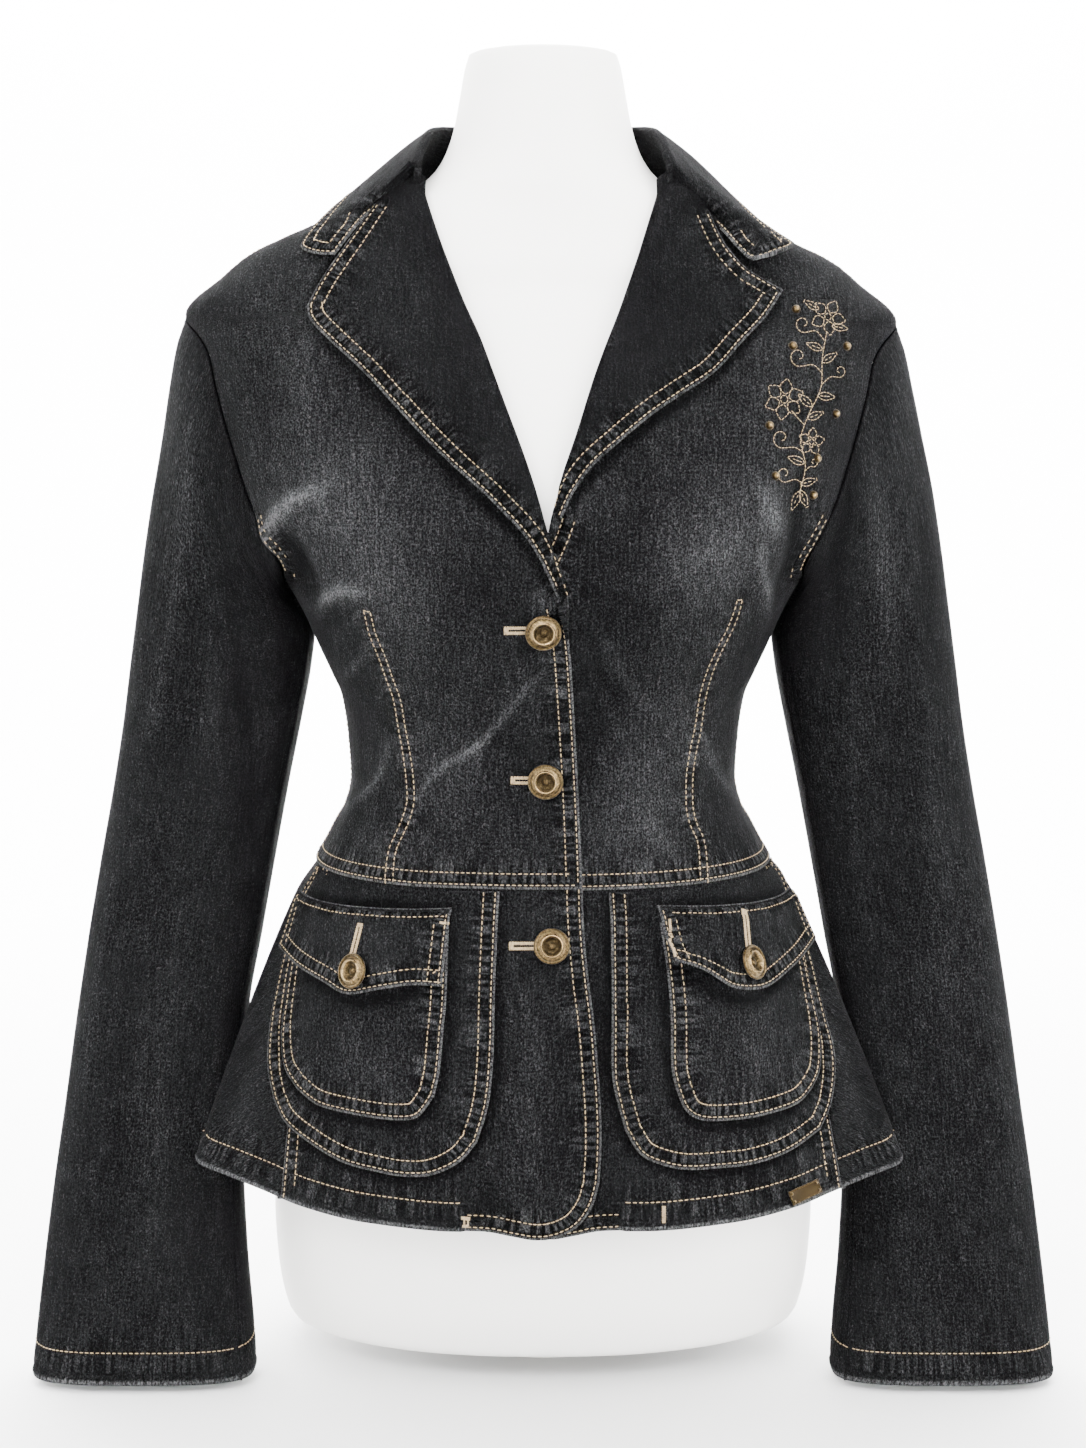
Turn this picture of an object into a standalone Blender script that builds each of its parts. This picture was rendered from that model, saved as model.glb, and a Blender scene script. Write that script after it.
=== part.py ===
"""A denim blazer, buttoned up on a plain limbless dress form.

Metres, +Z up, front towards -Y, origin on the floor under the form.
The wearer's right is -X, and the right front laps over the left one.

Each sewn piece is a grid of points on one of three surfaces: the bodice,
the peplum below its waist seam, and the tube of a sleeve. A Solidify
modifier gives the grid its cloth thickness. What lies on a panel is made
from the same surface, moved out along its normal.
"""

import math

import bmesh
import bpy
import numpy as np
from mathutils import Vector

# Cloth
DENIM = 0.0012           # one layer
DOUBLE = 0.0020          # lapel and collar: two layers turned and pressed
SEAM_HALF_GAP = 0.0002   # each side of a side seam
SHOULDER_HALF_GAP = 0.0003
SLEEVE_HALF_GAP = 0.0004
ARMHOLE_GAP = 0.0009     # between the armhole and the top of the sleeve

# Heights
WAIST = 0.2925           # the peplum leaves the body here
BODICE_EDGE = 0.2905     # lower edge of the bodice, lapped over the peplum
PEPLUM_TOP = 0.3000      # upper edge of the peplum, tucked under the bodice
UNDERARM = 0.4530
SHOULDER = 0.6033
NECK_FRONT = 0.6680      # where the roll line meets the neck seam
NECK_SIDE = 0.6785       # neck seam at the shoulder and round the back

# Bodice outside: height, half width, front depth, back depth, squareness
BODICE = [
    (0.2800, 0.1400, 0.1140, 0.1060, 2.30),
    (0.2925, 0.1320, 0.1100, 0.1010, 2.30),
    (0.3010, 0.1272, 0.1065, 0.0980, 2.30),
    (0.3131, 0.1208, 0.1020, 0.0940, 2.30),
    (0.3223, 0.1155, 0.0990, 0.0915, 2.30),
    (0.3389, 0.1120, 0.0960, 0.0890, 2.30),
    (0.3608, 0.1132, 0.0980, 0.0910, 2.30),
    (0.3874, 0.1170, 0.1050, 0.0960, 2.30),
    (0.4003, 0.1225, 0.1090, 0.0990, 2.30),
    (0.4149, 0.1290, 0.1140, 0.1020, 2.35),
    (0.4345, 0.1375, 0.1200, 0.1060, 2.40),
    (0.4530, 0.1480, 0.1235, 0.1090, 2.40),
    (0.4750, 0.1640, 0.1235, 0.1120, 2.45),
    (0.4950, 0.1725, 0.1205, 0.1140, 2.50),
    (0.5200, 0.1800, 0.1125, 0.1150, 2.55),
    (0.5560, 0.1905, 0.0980, 0.1100, 2.60),
    (0.5795, 0.1970, 0.0870, 0.1000, 2.70),
    (0.6033, 0.2035, 0.0730, 0.0870, 2.80),
    (0.6255, 0.1812, 0.0620, 0.0750, 2.70),
    (0.6363, 0.1680, 0.0570, 0.0690, 2.60),
    (0.6472, 0.1460, 0.0535, 0.0640, 2.50),
    (0.6645, 0.1050, 0.0495, 0.0570, 2.40),
    (0.6795, 0.0750, 0.0475, 0.0530, 2.30),
]
BUST = {"depth": 0.009, "across": 0.074, "height": 0.462, "wide": 0.045, "tall": 0.055}

# Peplum hem: angle round the waist, hem x, hem y, hem height
HEM = [
    (0, 0.0000, -0.1500, 0.1112),
    (28, 0.0520, -0.1500, 0.1113),
    (50, 0.1000, -0.1420, 0.1135),
    (68, 0.1350, -0.1270, 0.1172),
    (82, 0.1590, -0.1120, 0.1220),
    (92, 0.1800, -0.1000, 0.1265),
    (99, 0.1980, -0.0880, 0.1300),
    (104, 0.2005, -0.0800, 0.1305),
    (109, 0.1910, -0.0735, 0.1285),
    (116, 0.1780, -0.0620, 0.1250),
    (123, 0.1700, -0.0410, 0.1220),
    (131, 0.1675, -0.0130, 0.1200),
    (141, 0.1640, 0.0250, 0.1190),
    (152, 0.1500, 0.0680, 0.1180),
    (163, 0.1200, 0.1080, 0.1170),
    (172, 0.0640, 0.1340, 0.1165),
    (180, 0.0000, 0.1410, 0.1165),
]
HEM_DROP = WAIST - HEM[0][3]
FLARE = 0.76             # below 1 the peplum springs out just under the waist
HEM_SHIFT = 0.0035       # the peplum hangs this far towards the wearer's left

# Front edge of the peplum and its rounded corner: distance out, height
PEPLUM_EDGE = [
    (-0.0212, 0.3000), (-0.0223, 0.2693), (-0.0245, 0.2457), (-0.0276, 0.2220),
    (-0.0297, 0.1984), (-0.0313, 0.1747), (-0.0315, 0.1542), (-0.0303, 0.1365),
]
PEPLUM_CORNER = [
    (-0.0303, 0.1365), (-0.0267, 0.1249), (-0.0191, 0.1144), (-0.0085, 0.1086),
    (0.0036, 0.1068), (0.0156, 0.1086), (0.0292, 0.1112), (0.0415, 0.1118),
]
PEPLUM_REACH = 0.13      # distance of its side seams from the middle, where the gap is set
PEPLUM_HALF_GAP = 0.0003

# Armhole: height, angle of its front edge, angle of its back edge
ARMHOLE = [
    (0.4530, 89.5, 90.5),
    (0.4555, 80.0, 100.0),
    (0.4610, 74.0, 106.0),
    (0.4720, 72.0, 109.0),
    (0.4985, 72.0, 109.0),
    (0.5360, 74.5, 106.0),
    (0.5635, 76.5, 104.0),
    (0.5790, 77.0, 102.5),
    (0.5900, 79.0, 100.0),
    (0.5980, 83.0, 96.0),
    (0.6033, 89.5, 90.5),
]

# Front edge and roll line: height, distance out from the centre line
RIGHT_EDGE = [
    (0.2800, -0.0212), (0.3118, -0.0206), (0.3450, -0.0192), (0.3900, -0.0168),
    (0.4254, -0.0144), (0.4460, -0.0110), (0.4620, -0.0065), (0.4875, 0.0014),
    (0.5157, 0.0101), (0.5525, 0.0238), (0.5883, 0.0377), (0.6124, 0.0484),
    (0.6405, 0.0592), (0.6564, 0.0647), (0.6680, 0.0685),
]
LEFT_EDGE = [
    (0.2800, -0.0212), (0.3118, -0.0206), (0.3450, -0.0192), (0.3900, -0.0168),
    (0.4254, -0.0144), (0.4460, -0.0100), (0.4700, -0.0015), (0.4924, 0.0078),
    (0.5124, 0.0128), (0.5374, 0.0213), (0.5695, 0.0317), (0.5969, 0.0423),
    (0.6264, 0.0531), (0.6546, 0.0622), (0.6680, 0.0665),
]

# Lapel outlines as seen from the front: distance out, height
RIGHT_LAPEL = {
    "break": (0.4470, 0.0006),
    "outer": [(-0.0101, 0.4472), (-0.0045, 0.4600), (0.0021, 0.4725), (0.0106, 0.4841),
              (0.0273, 0.5008), (0.0443, 0.5157), (0.0614, 0.5323), (0.0788, 0.5509),
              (0.0965, 0.5695), (0.1143, 0.5849), (0.1262, 0.5965), (0.1290, 0.6050)],
    "top": [(0.0685, 0.6690), (0.0790, 0.6655), (0.0905, 0.6588), (0.1074, 0.6391),
            (0.1225, 0.6163), (0.1290, 0.6050)],
}
LEFT_LAPEL = {
    "break": (0.4995, 0.0070),
    "outer": [(0.0108, 0.4995), (0.0148, 0.5091), (0.0233, 0.5207), (0.0403, 0.5324),
              (0.0575, 0.5457), (0.0748, 0.5575), (0.0923, 0.5695), (0.1102, 0.5884),
              (0.1248, 0.6039), (0.1332, 0.6172)],
    "top": [(0.0665, 0.6685), (0.0780, 0.6640), (0.0895, 0.6560), (0.0995, 0.6408),
            (0.1110, 0.6285), (0.1215, 0.6228), (0.1332, 0.6172)],
}
# Turned edge of a lapel: distance in from the roll line, height over the front
ROLL = [(-0.0030, -0.0010), (-0.0036, 0.0012), (-0.0022, 0.0034), (0.0018, 0.0046)]
LAPEL_EDGE_LIFT = 0.0040

# Collar, one half from its front end to the centre of the back:
# share of the way, then x, y, z of neck seam, fold, middle of the fall, outer edge
COLLAR = [
    (0.00, (0.0690, -0.0440, 0.6722), (0.0700, -0.0435, 0.6775),
     (0.0935, -0.0455, 0.6620), (0.1142, -0.0575, 0.6347)),
    (0.07, (0.0700, -0.0395, 0.6742), (0.0690, -0.0388, 0.6830),
     (0.0965, -0.0400, 0.6640), (0.1245, -0.0535, 0.6355)),
    (0.14, (0.0700, -0.0330, 0.6750), (0.0668, -0.0320, 0.6890),
     (0.0970, -0.0340, 0.6690), (0.1345, -0.0440, 0.6405)),
    (0.24, (0.0722, -0.0220, 0.6775), (0.0645, -0.0200, 0.6975),
     (0.0945, -0.0210, 0.6780), (0.1250, -0.0240, 0.6560)),
    (0.36, (0.0745, -0.0030, 0.6800), (0.0610, -0.0010, 0.7050),
     (0.0870, 0.0010, 0.6910), (0.1110, 0.0030, 0.6690)),
    (0.50, (0.0700, 0.0180, 0.6800), (0.0560, 0.0220, 0.7085),
     (0.0790, 0.0270, 0.6960), (0.1000, 0.0300, 0.6680)),
    (0.68, (0.0500, 0.0390, 0.6800), (0.0420, 0.0440, 0.7105),
     (0.0560, 0.0560, 0.6960), (0.0680, 0.0590, 0.6640)),
    (0.84, (0.0260, 0.0500, 0.6800), (0.0215, 0.0540, 0.7115),
     (0.0280, 0.0670, 0.6960), (0.0340, 0.0690, 0.6620)),
    (1.00, (0.0000, 0.0530, 0.6800), (0.0000, 0.0570, 0.7115),
     (0.0000, 0.0700, 0.6960), (0.0000, 0.0720, 0.6610)),
]
FOLD_RADIUS = 0.0028
# The collar's left tip lies further out than the right one: move, share of the way, spread
LEFT_TIP = {"move": (0.0075, 0.0, 0.0065), "share": 0.11, "spread": 0.10}

# The left shoulder hangs lower and closer in: move, x and height between which it comes in
LEFT_SHOULDER = {"move": (-0.0022, 0.0, -0.0042), "x": (0.080, 0.140), "height": (0.500, 0.590)}

# Sleeve sections: outer x and z, inner x and z, middle y, half depth, squareness
SLEEVE = [
    (0.2035, 0.6033, 0.1480, 0.4530, 0.0010, 0.0500, 2.2),
    (0.2085, 0.5900, 0.1483, 0.4510, 0.0010, 0.0525, 2.2),
    (0.2135, 0.5650, 0.1480, 0.4480, 0.0015, 0.0540, 2.3),
    (0.2190, 0.5330, 0.1468, 0.4440, 0.0020, 0.0535, 2.4),
    (0.2255, 0.4980, 0.1445, 0.4385, 0.0030, 0.0515, 2.5),
    (0.2310, 0.4650, 0.1415, 0.4310, 0.0040, 0.0490, 2.6),
    (0.2350, 0.4380, 0.1390, 0.4200, 0.0050, 0.0470, 2.7),
    (0.2400, 0.4050, 0.1385, 0.4030, 0.0065, 0.0445, 2.8),
    (0.2455, 0.3690, 0.1430, 0.3700, 0.0085, 0.0420, 2.8),
    (0.2525, 0.3300, 0.1500, 0.3330, 0.0095, 0.0390, 2.8),
    (0.2610, 0.2850, 0.1585, 0.2880, 0.0070, 0.0360, 2.8),
    (0.2685, 0.2400, 0.1665, 0.2430, 0.0015, 0.0345, 2.8),
    (0.2745, 0.1950, 0.1740, 0.1980, -0.0085, 0.0335, 2.9),
    (0.2795, 0.1500, 0.1757, 0.1530, -0.0215, 0.0325, 2.9),
    (0.2842, 0.1080, 0.1752, 0.1100, -0.0355, 0.0310, 3.0),
    (0.2880, 0.0660, 0.1720, 0.0680, -0.0510, 0.0295, 3.0),
    (0.2908, 0.0280, 0.1672, 0.0280, -0.0655, 0.0285, 3.1),
    (0.2922, 0.0046, 0.1648, 0.0046, -0.0750, 0.0280, 3.1),
]
CAP_EASE = [1.0, 0.8, 0.5, 0.25, 0.08]   # how far each section keeps the armhole's shape
FRONT_SLEEVE_SEAM = 0.435                # share of the way round from the outer fold
BACK_SLEEVE_SEAM = 0.680
SLEEVE_ROUND = 0.30                      # length once round it, about

# Pieces sewn on the peplum, as seen from the front: distance out, height
SEAM_ANGLE = {"right": 76.0, "left": 84.0}
PANEL_TOP = 0.2893
RIGHT_PANEL = {
    "inner": [(0.0235, 0.2893), (0.0256, 0.2399), (0.0266, 0.2029), (0.0293, 0.1779), (0.0353, 0.1586)],
    "bottom": [(0.0353, 0.1586), (0.0444, 0.1483), (0.0595, 0.1408), (0.0748, 0.1391), (0.0903, 0.1405),
               (0.1090, 0.1435), (0.1268, 0.1501), (0.1420, 0.1580), (0.1492, 0.1680)],
    "outer": [(0.1492, 0.1680), (0.1525, 0.1803), (0.1530, 0.1965), (0.1520, 0.2132),
              (0.1480, 0.2350), (0.1400, 0.2640), (0.1325, 0.2880)],
}
LEFT_PANEL = {
    "inner": [(0.0363, 0.2893), (0.0371, 0.2395), (0.0370, 0.1983), (0.0389, 0.1836), (0.0442, 0.1644)],
    "bottom": [(0.0442, 0.1644), (0.0517, 0.1525), (0.0608, 0.1472), (0.0761, 0.1430), (0.0962, 0.1424),
               (0.1151, 0.1427), (0.1346, 0.1460), (0.1533, 0.1535)],
    "outer": [(0.1533, 0.1535), (0.1600, 0.1644), (0.1627, 0.1790), (0.1620, 0.1927),
              (0.1586, 0.2070), (0.1530, 0.2350), (0.1440, 0.2640), (0.1355, 0.2880)],
}
RIGHT_POCKET = {
    "inner": [(0.0500, 0.2720), (0.0515, 0.2336), (0.0530, 0.2177), (0.0551, 0.1954), (0.0581, 0.1821)],
    "bottom": [(0.0581, 0.1821), (0.0643, 0.1731), (0.0702, 0.1693), (0.0826, 0.1682), (0.1029, 0.1690),
               (0.1222, 0.1707), (0.1339, 0.1764)],
    "outer": [(0.1339, 0.1764), (0.1412, 0.1844), (0.1434, 0.1950), (0.1433, 0.2089),
              (0.1395, 0.2365), (0.1345, 0.2650)],
}
LEFT_POCKET = {
    "inner": [(0.0625, 0.2720), (0.0660, 0.2500), (0.0683, 0.2240), (0.0686, 0.1977), (0.0709, 0.1859)],
    "bottom": [(0.0709, 0.1859), (0.0762, 0.1739), (0.0854, 0.1681), (0.1010, 0.1666), (0.1202, 0.1668),
               (0.1384, 0.1690), (0.1472, 0.1745)],
    "outer": [(0.1472, 0.1745), (0.1525, 0.1830), (0.1530, 0.2007), (0.1500, 0.2179),
              (0.1450, 0.2420), (0.1390, 0.2650)],
}
RIGHT_FLAP = {
    "inner": [(0.0486, 0.2803), (0.0531, 0.2395)],
    "bottom": [(0.0531, 0.2395), (0.0691, 0.2392), (0.0870, 0.2350), (0.1037, 0.2305), (0.1160, 0.2345),
               (0.1310, 0.2385), (0.1440, 0.2430)],
    "outer": [(0.1440, 0.2430), (0.1365, 0.2740)],
}
LEFT_FLAP = {
    "inner": [(0.0614, 0.2812), (0.0670, 0.2515)],
    "bottom": [(0.0670, 0.2515), (0.0800, 0.2465), (0.0905, 0.2400), (0.0985, 0.2350), (0.1090, 0.2322),
               (0.1199, 0.2322), (0.1343, 0.2385), (0.1500, 0.2450)],
    "outer": [(0.1500, 0.2450), (0.1400, 0.2740)],
}
# How far the outside of each layer stands off the peplum
PANEL_LIFT = 0.0024
POCKET_LIFT = 0.0043
POCKET_FULLNESS = 0.0020
FLAP_LIFT = 0.0060
FLAP_SPRING = 0.0030
FLAP_CURL = {"right": 0.0, "left": 0.0080}

# The top of the peplum lies inside the edge of the bodice
TUCK = 0.0026
TUCK_FROM, TUCK_TO = 0.02, 0.14          # falls between which it comes out
FALLS = [-0.0414, 0.0, 0.03, 0.07, 0.13, 0.21, 0.31, 0.43, 0.56, 0.70, 0.85, 1.0]

# The right front stands off the left one where they overlap, most at the waist seam
LAP_RISE = 0.0022
LAP_WAIST_RISE = 0.0024
LAP_WAIST = {"height": 0.296, "tall": 0.016}
LAP_FROM, LAP_TO = 0.075, 0.036          # distances out between which it rises

# Buttons: radius, thickness, radius of the shank, height of its top
BUTTON = {"radius": 0.0098, "thick": 0.0036, "shank": 0.0030, "stand": 0.0016}
BUTTON_FOOT = {"bodice": 0.0009, "peplum": 0.0006, "flap": 0.0004}   # foot over the cloth
BUTTON_STEPS = 12
# name, which skin, x, height
BUTTONS = [
    ("button_1", "bodice", 0.0001, 0.4336),
    ("button_2", "bodice", 0.0016, 0.3492),
    ("button_3", "peplum", 0.0046, 0.2621),
    ("button_flap_right", "flap", -0.1020, 0.2450),
    ("button_flap_left", "flap", 0.1130, 0.2480),
]
FLAP_BUTTON_DOWN = 0.75  # how far down its flap a button sits
PLATE = {"x": 0.1435, "height": 0.1240, "wide": 0.0210, "tall": 0.0078, "thick": 0.0010, "tilt": -9.0,
         "over": 0.0008}

# Dress form: height, half width, front depth, back depth, squareness
FORM = [
    (0.0136, 0.1450, 0.0820, 0.0960, 2.2),
    (0.0165, 0.1505, 0.0890, 0.1030, 2.2),
    (0.0240, 0.1540, 0.0940, 0.1080, 2.2),
    (0.0500, 0.1585, 0.1060, 0.1170, 2.2),
    (0.0800, 0.1600, 0.1140, 0.1220, 2.2),
    (0.1100, 0.1570, 0.1150, 0.1220, 2.2),
    (0.1500, 0.1440, 0.1090, 0.1120, 2.2),
    (0.2000, 0.1290, 0.1020, 0.1000, 2.2),
    (0.2500, 0.1140, 0.0950, 0.0920, 2.2),
    (0.2925, 0.1060, 0.0900, 0.0850, 2.2),
    (0.3389, 0.1020, 0.0870, 0.0810, 2.3),
    (0.3874, 0.1085, 0.0960, 0.0880, 2.3),
    (0.4149, 0.1200, 0.1050, 0.0940, 2.3),
]
FORM_RINGS = [0.4345, 0.4600, 0.4900, 0.5200, 0.5500, 0.5750, 0.5950, 0.6050, 0.6150,
              0.6255, 0.6363, 0.6472, 0.6560, 0.6640]
FORM_NECK = [
    (0.6740, 0.0720, 0.0480, 0.0520, 2.2),
    (0.6840, 0.0610, 0.0465, 0.0505, 2.1),
    (0.6950, 0.0545, 0.0448, 0.0485, 2.0),
    (0.7080, 0.0503, 0.0435, 0.0470, 2.0),
    (0.7250, 0.0470, 0.0425, 0.0450, 2.0),
    (0.7410, 0.0440, 0.0415, 0.0430, 2.0),
    (0.7480, 0.0418, 0.0395, 0.0410, 2.0),
]
FORM_NECK_CROWN = 0.7514
FORM_CLEARANCE = 0.0070
FORM_TOUCH = {"clearance": 0.0028, "from": 0.618, "full": 0.634}   # where the cloth rests on it
FORM_SOLE_Y = 0.007
FOOT = {"radius": 0.060, "y": 0.008, "bevel": 0.002, "gap": 0.0003, "steps": 32}


def smooth(rows, column, at):
    """Monotone cubic through one column of a table whose first column rises."""
    x = np.array([row[0] for row in rows], float)
    y = np.array([row[column] for row in rows], float)
    step = np.diff(x)
    slope = np.diff(y) / step
    tangent = np.zeros_like(y)
    tangent[0], tangent[-1] = slope[0], slope[-1]
    for i in range(1, len(x) - 1):
        if slope[i - 1] * slope[i] > 0:
            before = 2 * step[i] + step[i - 1]
            after = step[i] + 2 * step[i - 1]
            tangent[i] = (before + after) / (before / slope[i - 1] + after / slope[i])
    at = np.clip(np.asarray(at, float), x[0], x[-1])
    i = np.clip(np.searchsorted(x, at, side="right") - 1, 0, len(x) - 2)
    t = (at - x[i]) / step[i]
    return ((1 + 2 * t) * (1 - t) ** 2 * y[i] + t * (1 - t) ** 2 * step[i] * tangent[i]
            + t * t * (3 - 2 * t) * y[i + 1] + t * t * (t - 1) * step[i] * tangent[i + 1])


def ramp(low, high, value):
    """0 at low, 1 at high, eased between; low may be the larger one."""
    t = np.clip((np.asarray(value, float) - low) / (high - low), 0, 1)
    return t * t * (3 - 2 * t)


def oval(table, angle, height):
    """Point on a body whose level sections are squared ovals; 0 degrees is the front."""
    turn = np.radians(angle)
    side, front, back, power = (smooth(table, k, height) for k in (1, 2, 3, 4))
    ahead = np.cos(turn)
    depth = np.where(ahead > 0, front, back)
    reach = ((np.abs(np.sin(turn)) / side) ** power + (np.abs(ahead) / depth) ** power) ** (-1 / power)
    return reach * np.sin(turn), -reach * ahead


def bodice_point(angle, height):
    angle, height = np.broadcast_arrays(np.asarray(angle, float), np.asarray(height, float))
    x, y = oval(BODICE, angle, height)
    swell = BUST["depth"] * np.exp(-((np.abs(x) - BUST["across"]) / BUST["wide"]) ** 2
                                   - ((height - BUST["height"]) / BUST["tall"]) ** 2)
    y = y - np.where(np.cos(np.radians(angle)) > 0, swell, 0)
    return np.stack([x, y, height], -1)


def peplum_point(angle, fall):
    """fall is 0 at the waist seam and 1 at the hem; below 0 it follows the bodice up."""
    angle, fall = np.broadcast_arrays(np.asarray(angle, float), np.asarray(fall, float))
    round_waist = np.abs(angle)
    rise = np.clip(-fall, 0, None) * HEM_DROP
    top = bodice_point(round_waist, WAIST + rise)
    hem_x, hem_y, hem_z = (smooth(HEM, k, round_waist) for k in (1, 2, 3))
    spread = np.clip(fall, 0, None) ** FLARE
    x = np.sign(angle) * (top[..., 0] * (1 - spread) + hem_x * spread) + HEM_SHIFT * spread
    y = top[..., 1] * (1 - spread) + hem_y * spread
    z = np.where(fall < 0, WAIST + rise, WAIST * (1 - fall) + hem_z * fall)
    return np.stack([x, y, z], -1)


def lifted(surface, u, v, lift):
    """Surface points moved out along the surface's normal."""
    u, v = np.broadcast_arrays(np.asarray(u, float), np.asarray(v, float))
    point = surface(u, v)
    du, dv = 0.2, 0.0015 if surface is bodice_point else 0.008
    across = surface(u + du, v) - surface(u - du, v)
    along = surface(u, v + dv) - surface(u, v - dv)
    normal = np.cross(across, along)
    normal /= np.linalg.norm(normal, axis=-1, keepdims=True)
    outward = point * np.array([1, 1, 0])
    facing = np.sign(np.sum(normal * outward, -1, keepdims=True))
    return point + normal * facing * np.asarray(lift, float)[..., None]


def bodice_at(side, out, height):
    """Angle of the front point that shows at a distance out from the centre line."""
    half, front, power = (smooth(BODICE, k, height) for k in (1, 2, 4))
    share = np.clip(np.abs(out) / half, 0, 0.9999)
    depth = front * (1 - share ** power) ** (1 / power)
    return side * np.sign(out) * np.degrees(np.arctan2(np.abs(out), depth))


def peplum_at(side, out, height):
    """Waist angle and fall of the peplum point that shows at out, height from the front."""
    x = side * out
    sign = 1 if x >= 0 else -1
    angles = sign * np.linspace(0, 101, 203)
    fall = 0.5
    for _ in range(12):
        seen = sign * peplum_point(angles, fall)[:, 0]
        last = int(np.argmax(seen)) + 1
        angle = np.interp(abs(x), seen[:last], np.abs(angles[:last]))
        fall = (WAIST - height) / (WAIST - float(smooth(HEM, 3, angle)))
    return sign * float(angle), float(fall)


def lap(side, x, height):
    """Extra height of the right front over the left one."""
    x, height = np.asarray(x, float), np.asarray(height, float)
    if side > 0:
        return 0 * x
    waist = np.exp(-((height - LAP_WAIST["height"]) / LAP_WAIST["tall"]) ** 2)
    return (LAP_RISE + LAP_WAIST_RISE * waist) * ramp(LAP_FROM, LAP_TO, -x)


def flowing(points, count):
    """Smooth curve through hand-picked points, read at equal steps."""
    p = np.array(points, float)
    if len(p) == 2:
        return p[0] + (p[1] - p[0]) * np.linspace(0, 1, count)[:, None]
    ends = np.vstack([2 * p[0] - p[1], p, 2 * p[-1] - p[-2]])
    fine = []
    for a, b, c, d in zip(ends, ends[1:], ends[2:], ends[3:]):
        for t in np.linspace(0, 1, 12, endpoint=False):
            fine.append(0.5 * (2 * b + (c - a) * t + (2 * a - 5 * b + 4 * c - d) * t * t
                               + (3 * b - a - 3 * c + d) * t ** 3))
    fine = np.array(fine + [p[-1]])
    return respaced(fine, np.linspace(0, 1, count))


def respaced(line, shares):
    """Points at given shares of a polyline's length."""
    run = np.concatenate([[0], np.cumsum(np.linalg.norm(np.diff(line, axis=0), axis=1))])
    at = np.asarray(shares) * run[-1]
    return np.stack([np.interp(at, run, line[:, k]) for k in range(line.shape[1])], -1)


def patch(bottom, top, left, right):
    """Grid between four edges; rows run from bottom to top, columns from left to right."""
    u = np.linspace(0, 1, len(bottom))[None, :, None]
    v = np.linspace(0, 1, len(left))[:, None, None]
    ruled = (1 - v) * bottom[None] + v * top[None] + (1 - u) * left[:, None] + u * right[:, None]
    corners = ((1 - u) * (1 - v) * bottom[0] + u * (1 - v) * bottom[-1]
               + (1 - u) * v * top[0] + u * v * top[-1])
    return ruled - corners


def finish(name):
    """Material of a named finish."""
    colour, roughness, metal = {
        "denim": ((0.036, 0.037, 0.041), 0.88, 0.0),
        "brass": ((0.30, 0.23, 0.13), 0.42, 1.0),
        "form": ((0.86, 0.85, 0.83), 0.55, 0.0),
    }[name]
    material = bpy.data.materials.get(name) or bpy.data.materials.new(name)
    material.use_nodes = True
    shader = material.node_tree.nodes["Principled BSDF"]
    shader.inputs["Base Color"].default_value = (*colour, 1)
    shader.inputs["Roughness"].default_value = roughness
    shader.inputs["Metallic"].default_value = metal
    return material


def hung(points):
    """Points moved as the left shoulder hangs."""
    x, z = points[..., 0], points[..., 2]
    share = ramp(*LEFT_SHOULDER["x"], x) * ramp(*LEFT_SHOULDER["height"], z)
    return points + share[..., None] * np.array(LEFT_SHOULDER["move"])


def add_object(name, mesh, material):
    mesh.materials.append(finish(material))
    piece = bpy.data.objects.new(name, mesh)
    bpy.context.scene.collection.objects.link(piece)
    return piece


def cloth(name, grid, thickness):
    """Wall from a grid of its outside points, which face away from the body's axis."""
    grid = hung(grid)
    rows, columns = grid.shape[:2]
    across = grid[:-1, 1:] - grid[:-1, :-1]
    along = grid[1:, :-1] - grid[:-1, :-1]
    normal = np.cross(across, along)
    outward = grid[:-1, :-1] * np.array([1, 1, 0])
    if np.sum(normal * outward) < 0:
        grid = grid[:, ::-1]
    mesh = bpy.data.meshes.new(name)
    mesh.from_pydata(grid.reshape(-1, 3).tolist(), [], quads(rows, columns))
    mesh.shade_smooth()
    piece = add_object(name, mesh, "denim")
    wall = piece.modifiers.new("cloth thickness", "SOLIDIFY")
    wall.thickness = thickness
    wall.offset = -1
    return piece


def bodice_front(name, side, edge, rows, columns):
    """Front from its edge and roll line to the side seam, armhole and shoulder seam."""
    heights = np.array(rows)
    inner = np.empty_like(heights)
    for i, z in enumerate(heights):
        if z <= NECK_FRONT:
            inner[i] = bodice_at(1, smooth(edge, 1, z), z) + 0.05
        else:
            start = bodice_at(1, edge[-1][1], NECK_FRONT)
            inner[i] = start + (86.0 - start) * ramp(NECK_FRONT, NECK_SIDE, z) ** 0.8
    outer = seam_side(heights, 1)
    share = np.linspace(0, 1, columns)[None]
    angle = inner[:, None] * (1 - share) + outer[:, None] * share
    z = np.repeat(heights[:, None], columns, 1)
    x = bodice_point(side * angle, z)[..., 0]
    cloth(name, lifted(bodice_point, side * angle, z, lap(side, x, z)), DENIM)


def seam_side(heights, part):
    """Angle at which a front (1) or the back (2) ends: side seam, armhole, shoulder seam."""
    half_gap = np.where(heights < UNDERARM, SEAM_HALF_GAP, SHOULDER_HALF_GAP)
    gap = np.degrees(half_gap / smooth(BODICE, 1, heights))
    ends = 90.0 - gap if part == 1 else 90.0 + gap
    sleeve = (heights > UNDERARM) & (heights < SHOULDER)
    ends[sleeve] = smooth(ARMHOLE, part, heights[sleeve])
    return ends


def bodice_back(rows, columns):
    heights = np.array(rows)
    outer = seam_side(heights, 2)
    share = np.linspace(0, 1, columns)[None]
    angle = outer[:, None] * (1 - share) + (360 - outer[:, None]) * share
    z = np.repeat(heights[:, None], columns, 1)
    cloth("back", lifted(bodice_point, angle, z, 0 * z), DENIM)


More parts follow.
